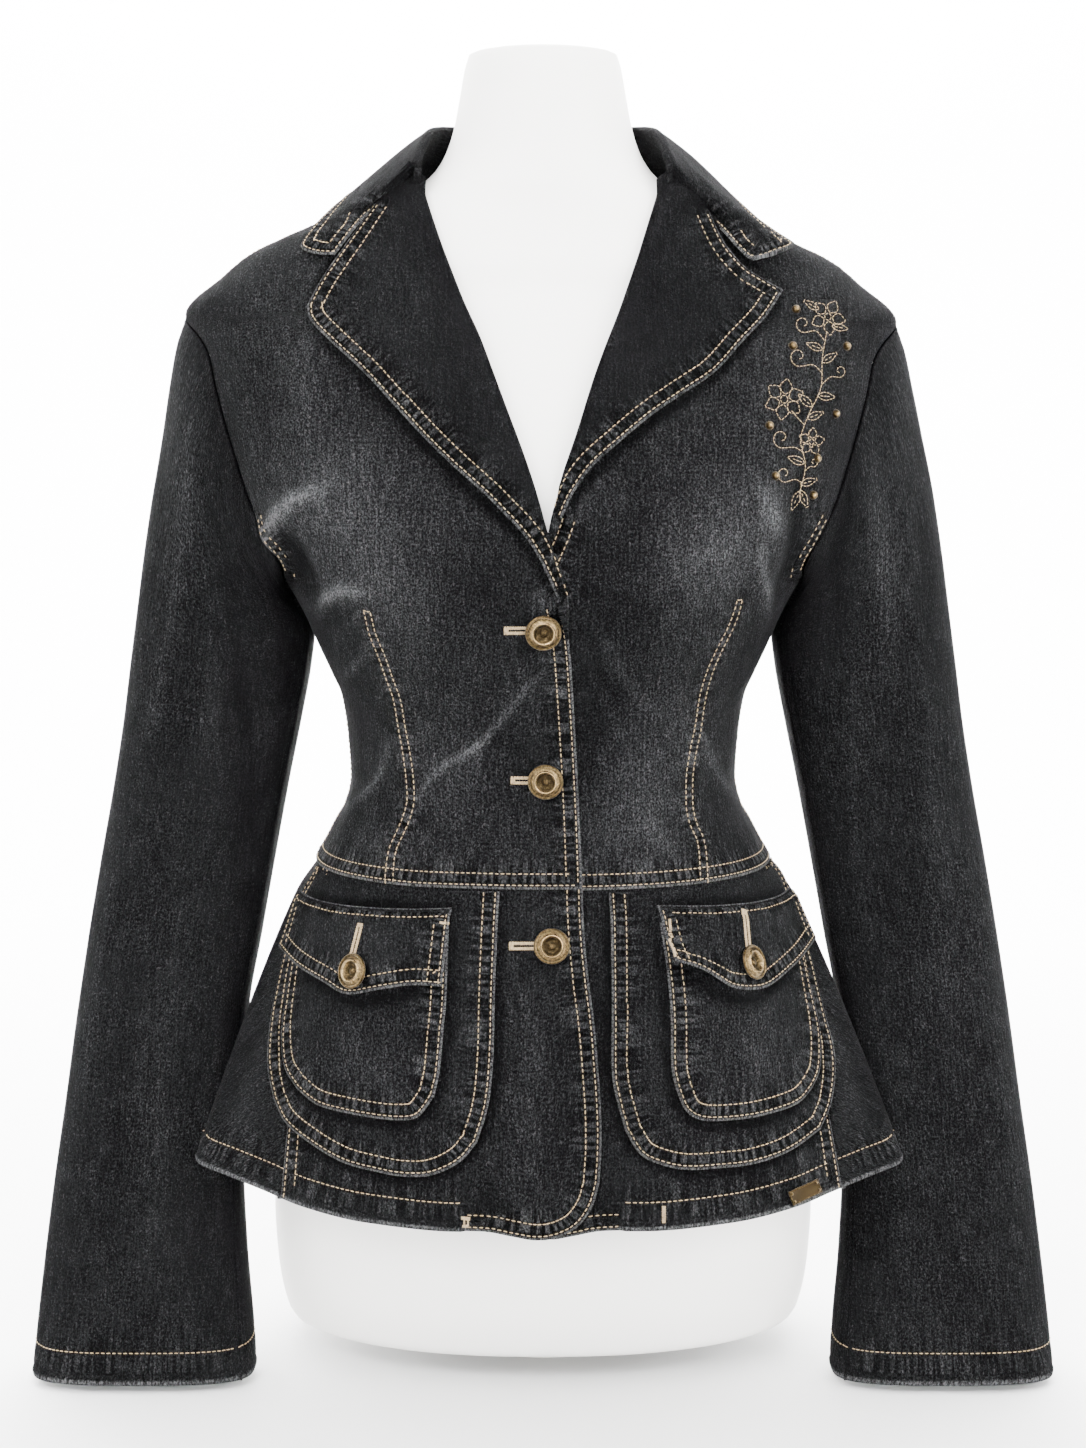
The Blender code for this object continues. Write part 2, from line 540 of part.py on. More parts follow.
def lapel(name, side, edge, outline, columns, rows):
    """Turned-back front, from the roll line out to its edge and notch."""
    start, _ = outline["break"]
    heights = np.linspace(start, outline["top"][0][1], rows)
    roll = np.stack([smooth(edge, 1, heights), heights], -1)
    outer = flowing(outline["outer"], rows)
    top = flowing(outline["top"], columns)
    low = flowing([roll[0], outline["outer"][0]], columns)
    roll[-1] = top[0]
    grid = patch(low, top, roll, outer)
    flat = grid.reshape(-1, 2)
    across = np.tile(np.linspace(0, 1, columns), rows)
    lift = ROLL[-1][1] * (1 - across) + LAPEL_EDGE_LIFT * across
    body = np.array([on_bodice(side, out, z, h) for (out, z), h in zip(flat, lift)])
    body = body.reshape(rows, columns, 3)
    turned = []
    for step_in, height in ROLL[:-1]:
        turned.append([on_bodice(side, out + step_in, z, height) for out, z in grid[:, 0]])
    turned = np.array(turned).transpose(1, 0, 2)
    body[:, 0] = [on_bodice(side, out + ROLL[-1][0] * 0.5, z, ROLL[-1][1]) for out, z in grid[:, 0]]
    cloth(name, np.concatenate([turned, body], 1), DOUBLE)


def on_bodice(side, out, height, lift):
    angle = bodice_at(side, out, height)
    return lifted(bodice_point, angle, height, lift + lap(side, side * out, height))


def collar(steps):
    """Stand and fall in one folded wall, from one notch round the neck to the other."""
    shares = np.linspace(0, 1, steps)
    half = []
    for share in shares:
        neck, fold, middle, edge = (
            np.array([smooth([(row[0], *row[k]) for row in COLLAR], axis, share) for axis in (1, 2, 3)])
            for k in (1, 2, 3, 4))
        half.append(collar_section(neck, fold, middle, edge))
    half = np.array(half)
    mirrored = half[:-1][::-1] * np.array([-1, 1, 1])
    near_tip = np.exp(-((shares - LEFT_TIP["share"]) / LEFT_TIP["spread"]) ** 2)
    down_the_fall = np.linspace(0, 1, half.shape[1]) ** 3
    half = half + near_tip[:, None, None] * down_the_fall[:, None] * np.array(LEFT_TIP["move"])
    return hung(np.concatenate([half, mirrored]))


def collar_section(neck, fold, middle, edge):
    """Inside of the stand, over the fold and down the fall to its edge."""
    rise = fold - neck
    out = middle - fold
    out[2] = 0
    out /= np.linalg.norm(out)
    up = np.array([0, 0, 1])
    crest = [fold + FOLD_RADIUS * (out + up * math.sin(t) - out * math.cos(t))
             for t in (math.radians(20), math.radians(90), math.radians(150))]
    stand = [neck + rise * share for share in (0, 0.5, 0.9)]
    start = crest[-1]
    pull = 2 * middle - 0.5 * (start + edge)
    fall = []
    for t in np.linspace(0, 1, 6)[1:]:
        fall.append((1 - t) ** 2 * start + 2 * t * (1 - t) * pull + t * t * edge)
    return np.array(stand + crest + fall)


def collar_piece():
    ring = collar(12)
    mesh = bpy.data.meshes.new("collar")
    mesh.from_pydata(ring.reshape(-1, 3).tolist(), [], quads(*ring.shape[:2]))
    mesh.shade_smooth()
    piece = add_object("collar", mesh, "denim")
    wall = piece.modifiers.new("cloth thickness", "SOLIDIFY")
    wall.thickness = DOUBLE
    wall.offset = -1
    return piece


def armhole_line(part, count):
    """Front (1) or back (2) edge of the armhole from the shoulder down to the underarm."""
    heights = np.linspace(SHOULDER, UNDERARM, 60)
    line = bodice_point(smooth(ARMHOLE, part, heights), heights)
    return respaced(line, np.linspace(0, 1, count))


def sleeve_ring(section, count):
    """Closed squared oval, from the outer fold over the front and back round again."""
    outer_x, outer_z, inner_x, inner_z, middle_y, depth, power = section
    outer = np.array([outer_x, middle_y, outer_z])
    inner = np.array([inner_x, middle_y, inner_z])
    middle, half = (outer + inner) / 2, (outer - inner) / 2
    turn = np.radians(np.linspace(0, 180, 90))
    size = (np.abs(np.cos(turn)) ** power + np.abs(np.sin(turn)) ** power) ** (-1 / power)
    ahead = np.array([0, -1, 0])
    front = middle + (size * np.cos(turn))[:, None] * half + (size * np.sin(turn) * depth)[:, None] * ahead
    front = respaced(front, np.linspace(0, 1, count // 2 + 1))
    back = front.copy()
    back[:, 1] = 2 * middle_y - front[:, 1]
    return np.concatenate([front, back[1:-1][::-1]])


def sleeve_tube(count):
    """Rings of points from the armhole to the cuff, for the wearer's left."""
    rings = [sleeve_ring(section, count) for section in SLEEVE]
    front = armhole_line(1, count // 2 + 1)
    back = armhole_line(2, count // 2 + 1)
    armhole = np.concatenate([front, back[1:-1][::-1]])
    kept = armhole - rings[0]
    for k, share in enumerate(CAP_EASE):
        rings[k] = rings[k] + kept * share
    tube = np.array(rings)
    off = tube[1] - tube[0]
    off /= np.linalg.norm(off, axis=-1, keepdims=True)
    tube[0] += off * ARMHOLE_GAP
    return tube


def around(tube, shares):
    """Points of each ring at shares of its way round; shares may run past 0 and 1."""
    closed = np.concatenate([tube, tube, tube, tube[:, :1]], 1)
    count = tube.shape[1]
    place = (np.asarray(shares) + 1) * count
    low = np.floor(place).astype(int)
    part = (place - low)[None, :, None]
    return closed[:, low] * (1 - part) + closed[:, low + 1] * part


def inside_of(tube, thickness):
    """Rings of the same tube on the inner face of its cloth."""
    around_it = np.roll(tube, -1, axis=1) - np.roll(tube, 1, axis=1)
    along_it = np.gradient(tube, axis=0)
    normal = np.cross(around_it, along_it)
    normal /= np.linalg.norm(normal, axis=-1, keepdims=True)
    middle = tube.mean(axis=1, keepdims=True)
    facing = np.sign(np.sum(normal * (tube - middle)))
    return tube - normal * facing * thickness


def sleeves():
    outer = sleeve_tube(60)
    inner = inside_of(outer, DENIM)
    gap = SLEEVE_HALF_GAP / SLEEVE_ROUND
    upper = np.linspace(BACK_SLEEVE_SEAM - 1 + gap, FRONT_SLEEVE_SEAM - gap, 15)
    under = np.linspace(FRONT_SLEEVE_SEAM + gap, BACK_SLEEVE_SEAM - gap, 6)
    for side, word in ((-1, "right"), (1, "left")):
        mirror = np.array([side, 1, 1])
        for part, shares in (("upper", upper), ("under", under)):
            wall(f"sleeve_{part}_{word}", around(outer, shares) * mirror, around(inner, shares) * mirror)


def wall(name, outer, inner):
    """Closed wall between two grids of points, its outside and its inside."""
    outer, inner = hung(outer), hung(inner)
    rows, columns = outer.shape[:2]
    size = rows * columns
    faces = quads(rows, columns)
    faces += [tuple(size + v for v in reversed(face)) for face in faces]
    rim = [r * columns for r in range(rows)]
    rim += [(rows - 1) * columns + c for c in range(1, columns)]
    rim += [r * columns + columns - 1 for r in range(rows - 2, -1, -1)]
    rim += list(range(columns - 2, 0, -1))
    faces += [(a, b, size + b, size + a) for a, b in zip(rim, rim[1:] + rim[:1])]
    mesh = bpy.data.meshes.new(name)
    mesh.from_pydata(np.concatenate([outer, inner]).reshape(-1, 3).tolist(), [], faces)
    bm = bmesh.new()
    bm.from_mesh(mesh)
    bmesh.ops.recalc_face_normals(bm, faces=bm.faces)
    bm.to_mesh(mesh)
    bm.free()
    mesh.shade_smooth()
    return add_object(name, mesh, "denim")


def quads(rows, columns):
    """Faces of a grid of points numbered row by row."""
    return [(r * columns + c, r * columns + c + 1, (r + 1) * columns + c + 1, (r + 1) * columns + c)
            for r in range(rows - 1) for c in range(columns - 1)]


def outline_on_peplum(side, points, count):
    """Smooth line through points seen from the front, as waist angle and fall, at even steps."""
    fine = np.array([peplum_at(side, out, z) for out, z in flowing(points, 4 * count)])
    line = peplum_point(fine[:, 0], fine[:, 1])
    run = np.concatenate([[0], np.cumsum(np.linalg.norm(np.diff(line, axis=0), axis=1))])
    even = np.linspace(0, run[-1], count)
    return np.stack([np.interp(even, run, fine[:, 0]), np.interp(even, run, fine[:, 1])], -1)


def on_peplum(side, grid, lift):
    angle, fall = grid[..., 0], grid[..., 1]
    point = peplum_point(angle, fall)
    return lifted(peplum_point, angle, fall, lift + lap(side, point[..., 0], point[..., 2]))


def sewn_on(name, side, outline, columns, rows, lift):
    """Piece laid on the peplum inside its outline; lift gives its height at shares u, v."""
    inner = outline_on_peplum(side, outline["inner"][::-1], rows)
    outer = outline_on_peplum(side, outline["outer"], rows)
    low = outline_on_peplum(side, outline["bottom"], columns)
    top = outline_on_peplum(side, [outline["inner"][0], outline["outer"][-1]], columns)
    low[0], low[-1], top[0], top[-1] = inner[0], outer[0], inner[-1], outer[-1]
    grid = patch(low, top, inner, outer)
    u, v = np.meshgrid(np.linspace(0, 1, columns), np.linspace(0, 1, rows))
    return cloth(name, on_peplum(side, grid, lift(u, v)), DENIM)


def panel_lift(u, v):
    return PANEL_LIFT + 0 * u


def pocket_lift(u, v):
    """A pocket stands fullest in its middle."""
    return POCKET_LIFT + POCKET_FULLNESS * np.sin(np.pi * u) * np.sin(np.pi * v) ** 1.2


def flap_lift(curl):
    """A flap springs out towards its lower edge; curl turns up its inner corner."""
    def lift(u, v):
        return FLAP_LIFT + FLAP_SPRING * (1 - v) ** 1.5 + curl * ramp(0.45, 0, u) * ramp(0.7, 0, v) ** 2
    return lift


def peplum_front(name, side, seam_angle, columns):
    """From the front edge to the side seam, with the rounded corner at the hem."""
    rows = len(FALLS)
    edge_line = outline_on_peplum(side, PEPLUM_EDGE[::-1], rows)
    seam_end = side * (seam_angle - np.degrees(PEPLUM_HALF_GAP / PEPLUM_REACH))
    corner_steps = columns // 2
    corner = outline_on_peplum(side, PEPLUM_CORNER, corner_steps)
    along_hem = np.linspace(corner[-1][0], seam_end, columns - corner_steps + 1)[1:]
    low = np.concatenate([corner, np.stack([along_hem, np.ones_like(along_hem)], -1)])
    seam = np.stack([np.full(rows, seam_end), FALLS[::-1]], -1)
    top = np.stack([np.linspace(edge_line[-1][0], seam_end, columns), np.full(columns, FALLS[0])], -1)
    edge_line[0], edge_line[-1] = low[0], top[0]
    grid = patch(low, top, edge_line, seam)
    cloth(name, on_peplum(side, grid, tuck(grid[..., 1])), DENIM)


def tuck(fall):
    """The top of the peplum lies just inside the edge of the bodice."""
    return -TUCK * (1 - ramp(TUCK_FROM, TUCK_TO, fall))


def peplum_back(columns):
    gap = np.degrees(PEPLUM_HALF_GAP / PEPLUM_REACH)
    angle = np.linspace(SEAM_ANGLE["left"] + gap, 360 - SEAM_ANGLE["right"] - gap, columns)
    angle = np.where(angle > 180, angle - 360, angle)
    angle, fall = np.meshgrid(angle, FALLS)
    cloth("peplum_back", lifted(peplum_point, angle, fall, tuck(fall)), DENIM)


def turned(name, profile, steps, material, place, normal):
    """Solid of revolution; profile is radius, height pairs from one pole to the other."""
    bm = bmesh.new()
    ring = [bm.verts.new((r, 0, h)) for r, h in profile]
    edges = [bm.edges.new(pair) for pair in zip(ring, ring[1:])]
    bmesh.ops.spin(bm, geom=ring + edges, cent=(0, 0, 0), axis=(0, 0, 1), angle=math.tau,
                   steps=steps, use_merge=True)
    bmesh.ops.remove_doubles(bm, verts=bm.verts, dist=1e-6)
    bmesh.ops.recalc_face_normals(bm, faces=bm.faces)
    turn = Vector((0, 0, 1)).rotation_difference(Vector(normal)).to_matrix().to_4x4()
    turn.translation = place
    bm.transform(turn)
    mesh = bpy.data.meshes.new(name)
    bm.to_mesh(mesh)
    bm.free()
    mesh.shade_smooth()
    return add_object(name, mesh, material)


def button(name, skin, x, height):
    """Domed metal button on its shank, standing on the cloth under it."""
    side = -1 if x < 0 or skin != "flap" else 1
    base = BUTTON_FOOT[skin]
    if skin == "flap":
        base += FLAP_LIFT + FLAP_SPRING * FLAP_BUTTON_DOWN
    if skin == "bodice":
        foot, over = (on_bodice(side, side * x, height, lift) for lift in (base, base + 0.01))
    else:
        place = np.array(peplum_at(side, side * x, height))
        foot, over = (on_peplum(side, place, lift) for lift in (base, base + 0.01))
    normal = (over - foot) / np.linalg.norm(over - foot)
    r, t, stand = BUTTON["radius"], BUTTON["thick"], BUTTON["stand"]
    profile = [(0, 0), (BUTTON["shank"], 0), (BUTTON["shank"], stand), (r * 0.82, stand),
               (r, stand + t * 0.35), (r * 0.97, stand + t * 0.72), (r * 0.84, stand + t * 0.80),
               (r * 0.70, stand + t * 0.62), (r * 0.40, stand + t * 0.86), (0, stand + t)]
    turned(name, profile, BUTTON_STEPS, "brass", Vector(foot), Vector(normal))


def hem_plate():
    angle, fall = peplum_at(1, PLATE["x"], PLATE["height"])
    base = on_peplum(1, np.array([angle, fall]), PLATE["over"])
    over = on_peplum(1, np.array([angle, fall]), 0.01)
    right = peplum_point(angle + 2, fall) - peplum_point(angle - 2, fall)
    out = Vector((over - base) / np.linalg.norm(over - base))
    right = Vector(right).normalized()
    up = out.cross(right).normalized()
    right = up.cross(out)
    tilt = math.radians(PLATE["tilt"])
    level, upright = right, up
    right = level * math.cos(tilt) + upright * math.sin(tilt)
    up = upright * math.cos(tilt) - level * math.sin(tilt)
    bm = bmesh.new()
    bmesh.ops.create_cube(bm, size=1)
    for vert in bm.verts:
        vert.co = (Vector(base) + right * vert.co.x * PLATE["wide"] + up * vert.co.y * PLATE["tall"]
                   + out * (vert.co.z + 0.5) * PLATE["thick"])
    bmesh.ops.recalc_face_normals(bm, faces=bm.faces)
    mesh = bpy.data.meshes.new("hem_plate")
    bm.to_mesh(mesh)
    bm.free()
    add_object("hem_plate", mesh, "brass")


def dress_form(columns):
    """Smooth limbless body that fills the blazer and shows at the neck and hips."""
    angle = np.linspace(0, 360, columns, endpoint=False)
    rings = [np.stack([*oval(FORM, angle, row[0]), np.full(columns, row[0])], -1) for row in FORM]
    turn = np.where(angle > 180, angle - 360, angle)
    for z in FORM_RINGS:
        touch = ramp(FORM_TOUCH["from"], FORM_TOUCH["full"], z)
        clearance = FORM_CLEARANCE + (FORM_TOUCH["clearance"] - FORM_CLEARANCE) * touch
        ring = lifted(bodice_point, turn, np.full(columns, z), np.full(columns, -clearance))
        rings.append(hung(ring))
    for row in FORM_NECK:
        rings.append(np.stack([*oval(FORM_NECK, angle, row[0]), np.full(columns, row[0])], -1))
    bm = bmesh.new()
    grid = [[bm.verts.new(p) for p in ring] for ring in rings]
    for low, high in zip(grid, grid[1:]):
        for c in range(columns):
            n = (c + 1) % columns
            bm.faces.new((low[c], low[n], high[n], high[c]))
    crown = bm.verts.new((0, 0, FORM_NECK_CROWN))
    sole = bm.verts.new((0, FORM_SOLE_Y, FORM[0][0]))
    for c in range(columns):
        n = (c + 1) % columns
        bm.faces.new((grid[-1][c], grid[-1][n], crown))
        bm.faces.new((grid[0][n], grid[0][c], sole))
    bmesh.ops.recalc_face_normals(bm, faces=bm.faces)
    mesh = bpy.data.meshes.new("dress_form")
    bm.to_mesh(mesh)
    bm.free()
    mesh.shade_smooth()
    add_object("dress_form", mesh, "form")


def form_foot():
    """Low round foot set back under the form, which it stands on."""
    height = FORM[0][0] - FOOT["gap"]
    r, b = FOOT["radius"], FOOT["bevel"]
    profile = [(0, 0), (r - b, 0), (r, b), (r, height), (0, height)]
    turned("form_foot", profile, FOOT["steps"], "form", Vector((0, FOOT["y"], 0)), Vector((0, 0, 1)))


def build():
    for old in list(bpy.data.objects):
        bpy.data.objects.remove(old, do_unlink=True)
    dress_form(28)
    form_foot()
    front_rows = [BODICE_EDGE, 0.301, 0.313, 0.325, 0.339, 0.356, 0.374, 0.390, 0.404, 0.418, 0.434,
                  0.4525, 0.4555, 0.4610, 0.4720, 0.4860, 0.5020, 0.5200, 0.5380, 0.5560, 0.5710, 0.5810,
                  0.5900, 0.5975, 0.6035, 0.6140, 0.6255, 0.6363, 0.6472, 0.6580, NECK_FRONT, NECK_SIDE]
    bodice_front("front_right", -1, RIGHT_EDGE, front_rows, 10)
    bodice_front("front_left", 1, LEFT_EDGE, front_rows, 10)
    bodice_back(front_rows, 17)
    lapel("lapel_right", -1, RIGHT_EDGE, RIGHT_LAPEL, 7, 17)
    lapel("lapel_left", 1, LEFT_EDGE, LEFT_LAPEL, 7, 15)
    collar_piece()
    sleeves()
    peplum_front("peplum_front_right", -1, SEAM_ANGLE["right"], 13)
    peplum_front("peplum_front_left", 1, SEAM_ANGLE["left"], 13)
    peplum_back(25)
    for side, word, panel, pocket, flap in ((-1, "right", RIGHT_PANEL, RIGHT_POCKET, RIGHT_FLAP),
                                            (1, "left", LEFT_PANEL, LEFT_POCKET, LEFT_FLAP)):
        sewn_on(f"pocket_panel_{word}", side, panel, 12, 10, panel_lift)
        sewn_on(f"pocket_{word}", side, pocket, 10, 9, pocket_lift)
        sewn_on(f"flap_{word}", side, flap, 10, 5, flap_lift(FLAP_CURL[word]))
    for row in BUTTONS:
        button(*row)
    hem_plate()


build()
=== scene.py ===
"""Washed denim blazer with brass buttons on a dress form, dressed for the render.

Metres, +Z up, front towards -Y. The wearer's right is -X and laps over the left.
Each sewn piece is a grid laid on the bodice, the peplum or the tube of a sleeve,
given its turned edges, puckers and creases, and then its cloth thickness.
Stitches are modelled once and copied along the rows.
"""

import math

import bmesh
import bpy
import numpy as np
from mathutils import Matrix, Vector
from mathutils.bvhtree import BVHTree


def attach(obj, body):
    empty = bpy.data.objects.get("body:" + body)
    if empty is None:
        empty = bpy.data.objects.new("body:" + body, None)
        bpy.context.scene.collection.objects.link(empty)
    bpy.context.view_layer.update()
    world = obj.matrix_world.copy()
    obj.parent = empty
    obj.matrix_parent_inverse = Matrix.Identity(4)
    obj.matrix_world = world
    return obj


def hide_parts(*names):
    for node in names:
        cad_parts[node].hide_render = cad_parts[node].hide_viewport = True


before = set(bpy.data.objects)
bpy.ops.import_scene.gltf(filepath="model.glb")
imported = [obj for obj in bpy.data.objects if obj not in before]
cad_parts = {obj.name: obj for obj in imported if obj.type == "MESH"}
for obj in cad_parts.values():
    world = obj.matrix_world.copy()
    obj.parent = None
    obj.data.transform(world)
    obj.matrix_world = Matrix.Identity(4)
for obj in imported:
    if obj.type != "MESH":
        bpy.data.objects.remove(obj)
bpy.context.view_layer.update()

# Cloth
DENIM = 0.0012
DOUBLE = 0.0020
SHOULDER_HALF_GAP = 0.0003
SIDE_HALF_GAP = 0.0002
SLEEVE_HALF_GAP = 0.0001
ARMHOLE_GAP = 0.0009
LAP_DOWN = 0.0017        # an edge that goes in under the next piece

# Heights
WAIST = 0.2925
BODICE_EDGE = 0.2905
UNDERARM = 0.4530
SHOULDER = 0.6033
NECK_FRONT = 0.6680
NECK_SIDE = 0.6785
NECK_ANGLE = 86.0        # where the neckline ends, in degrees from the front

# Bodice outside: height, half width, front depth, back depth, squareness
BODICE = [
    (0.2800, 0.1400, 0.1140, 0.1060, 2.30),
    (0.2925, 0.1320, 0.1100, 0.1010, 2.30),
    (0.3010, 0.1272, 0.1065, 0.0980, 2.30),
    (0.3131, 0.1208, 0.1020, 0.0940, 2.30),
    (0.3223, 0.1155, 0.0990, 0.0915, 2.30),
    (0.3389, 0.1120, 0.0960, 0.0890, 2.30),
    (0.3608, 0.1132, 0.0980, 0.0910, 2.30),
    (0.3874, 0.1170, 0.1050, 0.0960, 2.30),
    (0.4003, 0.1225, 0.1090, 0.0990, 2.30),
    (0.4149, 0.1290, 0.1140, 0.1020, 2.35),
    (0.4345, 0.1375, 0.1200, 0.1060, 2.40),
    (0.4530, 0.1480, 0.1235, 0.1090, 2.40),
    (0.4750, 0.1640, 0.1235, 0.1120, 2.45),
    (0.4950, 0.1725, 0.1205, 0.1140, 2.50),
    (0.5200, 0.1800, 0.1125, 0.1150, 2.55),
    (0.5560, 0.1905, 0.0980, 0.1100, 2.60),
    (0.5795, 0.1970, 0.0870, 0.1000, 2.70),
    (0.6033, 0.2035, 0.0730, 0.0870, 2.80),
    (0.6255, 0.1812, 0.0620, 0.0750, 2.70),
    (0.6363, 0.1680, 0.0570, 0.0690, 2.60),
    (0.6472, 0.1460, 0.0535, 0.0640, 2.50),
    (0.6645, 0.1050, 0.0495, 0.0570, 2.40),
    (0.6795, 0.0750, 0.0475, 0.0530, 2.30),
]
BUST = {"depth": 0.009, "across": 0.074, "height": 0.462, "wide": 0.045, "tall": 0.055}
SHOULDER_ROUND = {"size": 0.016, "tall": 0.026}

# Peplum hem: angle round the waist, hem x, hem y, hem height
HEM = [
    (0, 0.0000, -0.1500, 0.1112),
    (28, 0.0520, -0.1500, 0.1113),
    (50, 0.1000, -0.1420, 0.1135),
    (68, 0.1350, -0.1270, 0.1172),
    (82, 0.1590, -0.1120, 0.1220),
    (92, 0.1800, -0.1000, 0.1265),
    (99, 0.1980, -0.0880, 0.1300),
    (104, 0.2005, -0.0800, 0.1305),
    (109, 0.1910, -0.0735, 0.1285),
    (116, 0.1780, -0.0620, 0.1250),
    (123, 0.1700, -0.0410, 0.1220),
    (131, 0.1675, -0.0130, 0.1200),
    (141, 0.1640, 0.0250, 0.1190),
    (152, 0.1500, 0.0680, 0.1180),
    (163, 0.1200, 0.1080, 0.1170),
    (172, 0.0640, 0.1340, 0.1165),
    (180, 0.0000, 0.1410, 0.1165),
]
HEM_DROP = WAIST - HEM[0][3]
FLARE = 0.76
HEM_SHIFT = 0.0035
PEPLUM_TOP_FALL = -0.0414
PEPLUM_SEAM_GAP = math.degrees(0.0003 / 0.13)
TUCK = 0.0026

# Front edge of the peplum and its rounded corner: distance out, height
PEPLUM_EDGE = [
    (-0.0212, 0.3000), (-0.0223, 0.2693), (-0.0245, 0.2457), (-0.0276, 0.2220),
    (-0.0297, 0.1984), (-0.0313, 0.1747), (-0.0315, 0.1542), (-0.0303, 0.1365),
]
PEPLUM_CORNER = [
    (-0.0303, 0.1365), (-0.0267, 0.1249), (-0.0191, 0.1144), (-0.0085, 0.1086),
    (0.0036, 0.1068), (0.0156, 0.1086), (0.0292, 0.1112), (0.0415, 0.1118),
]

# Armhole: height, angle of its front edge, angle of its back edge
ARMHOLE = [
    (0.4530, 89.5, 90.5), (0.4555, 78.0, 100.0), (0.4610, 70.0, 106.0),
    (0.4720, 67.5, 109.0), (0.4985, 70.5, 109.0), (0.5360, 74.5, 106.0),
    (0.5635, 76.5, 104.0), (0.5790, 77.0, 102.5), (0.5900, 79.0, 100.0),
    (0.5980, 83.0, 96.0), (0.6033, 89.5, 90.5),
]

# Front edge and roll line: height, distance out from the centre line
RIGHT_EDGE = [
    (0.2800, -0.0212), (0.3118, -0.0206), (0.3450, -0.0192), (0.3900, -0.0168),
    (0.4254, -0.0144), (0.4460, -0.0110), (0.4620, -0.0065), (0.4875, 0.0014),
    (0.5157, 0.0101), (0.5525, 0.0238), (0.5883, 0.0377), (0.6124, 0.0484),
    (0.6405, 0.0592), (0.6564, 0.0647), (0.6680, 0.0685),
]
LEFT_EDGE = RIGHT_EDGE[:5] + [
    (0.4460, -0.0100), (0.4700, -0.0015), (0.4924, 0.0078), (0.5124, 0.0128), (0.5374, 0.0213),
    (0.5695, 0.0317), (0.5969, 0.0423), (0.6264, 0.0531), (0.6546, 0.0622), (0.6680, 0.0665),
]

# Lapels: height where the roll line breaks, then the edge and the notch as distance out, height
RIGHT_LAPEL = {
    "break": 0.4300,
    "outer": [(-0.0136, 0.4302), (-0.0122, 0.4390), (-0.0101, 0.4472), (-0.0045, 0.4600),
              (0.0021, 0.4725), (0.0106, 0.4841), (0.0273, 0.5008), (0.0443, 0.5157),
              (0.0614, 0.5323), (0.0788, 0.5509), (0.0965, 0.5695), (0.1143, 0.5849),
              (0.1262, 0.5965), (0.1290, 0.6050)],
    "top": [(0.0688, 0.6775), (0.0790, 0.6725), (0.0895, 0.6625), (0.1074, 0.6391),
            (0.1225, 0.6163), (0.1290, 0.6050)],
}
LEFT_LAPEL = {
    "break": 0.4740,
    "outer": [(0.0018, 0.4744), (0.0068, 0.4850), (0.0115, 0.4960), (0.0147, 0.5027),
              (0.0187, 0.5091), (0.0270, 0.5200), (0.0412, 0.5324), (0.0575, 0.5457),
              (0.0748, 0.5575), (0.0923, 0.5695), (0.1102, 0.5884), (0.1248, 0.6039),
              (0.1332, 0.6172)],
    "top": [(0.0668, 0.6770), (0.0780, 0.6715), (0.0885, 0.6605), (0.0995, 0.6408),
            (0.1110, 0.6285), (0.1215, 0.6228), (0.1332, 0.6172)],
}
# Turned edge of a lapel: distance in from the roll line, height over the front
ROLL = [(-0.0030, -0.0010), (-0.0036, 0.0000), (-0.0036, 0.0012), (-0.0031, 0.0024),
        (-0.0022, 0.0034), (-0.0004, 0.0042), (0.0018, 0.0046)]
LAPEL_EDGE_LIFT = 0.0050
LAPEL_LOW_LIFT = 0.18    # share of its height that a lapel starts with where it breaks
LAPEL_GROWS = 0.09       # share of its length over which it reaches its full height
LAPEL_FOLD_OUT = 0.0015  # how far its fold stands in front of the roll line
LAPEL_ROW_FROM = 0.0024  # width at which its rows of stitches start
COLLAR_COVERS = 0.092    # distance out up to which the collar hides the top of a lapel
# Painted shade: the lapels are darkened all over, against the light their upturned faces catch
LAPEL_SHADE = -0.11

# Collar, one half from its front end to the centre of the back:
# share of the way, then x, y, z of neck seam, fold, middle of the fall, outer edge
COLLAR = [
    (0.00, (0.0690, -0.0440, 0.6722), (0.0700, -0.0435, 0.6775),
     (0.0935, -0.0455, 0.6620), (0.1142, -0.0575, 0.6347)),
    (0.07, (0.0700, -0.0395, 0.6742), (0.0690, -0.0388, 0.6830),
     (0.0965, -0.0400, 0.6640), (0.1245, -0.0535, 0.6355)),
    (0.14, (0.0700, -0.0330, 0.6750), (0.0668, -0.0320, 0.6890),
     (0.0970, -0.0340, 0.6690), (0.1345, -0.0440, 0.6405)),
    (0.24, (0.0722, -0.0220, 0.6775), (0.0645, -0.0200, 0.6975),
     (0.0945, -0.0210, 0.6780), (0.1250, -0.0240, 0.6560)),
    (0.36, (0.0745, -0.0030, 0.6800), (0.0610, -0.0010, 0.7050),
     (0.0870, 0.0010, 0.6910), (0.1110, 0.0030, 0.6690)),
    (0.50, (0.0700, 0.0180, 0.6800), (0.0560, 0.0220, 0.7085),
     (0.0790, 0.0270, 0.6960), (0.1000, 0.0300, 0.6680)),
    (0.68, (0.0500, 0.0390, 0.6800), (0.0420, 0.0440, 0.7105),
     (0.0560, 0.0560, 0.6960), (0.0680, 0.0590, 0.6640)),
    (0.84, (0.0260, 0.0500, 0.6800), (0.0215, 0.0540, 0.7115),
     (0.0280, 0.0670, 0.6960), (0.0340, 0.0690, 0.6620)),
    (1.00, (0.0000, 0.0530, 0.6800), (0.0000, 0.0570, 0.7115),
     (0.0000, 0.0700, 0.6960), (0.0000, 0.0720, 0.6610)),
]
FOLD_RADIUS = 0.0028
FOLD_TURNS = (10, 35, 60, 85, 110, 135, 150)
STAND_STEPS = 8
GORGE_TUCK = 0.0095      # how far the collar's ends go in behind the lapels
COLLAR_ROW_FROM = 0.087  # distance out at which the rows along its ends start
COLLAR_WEAR = -0.03
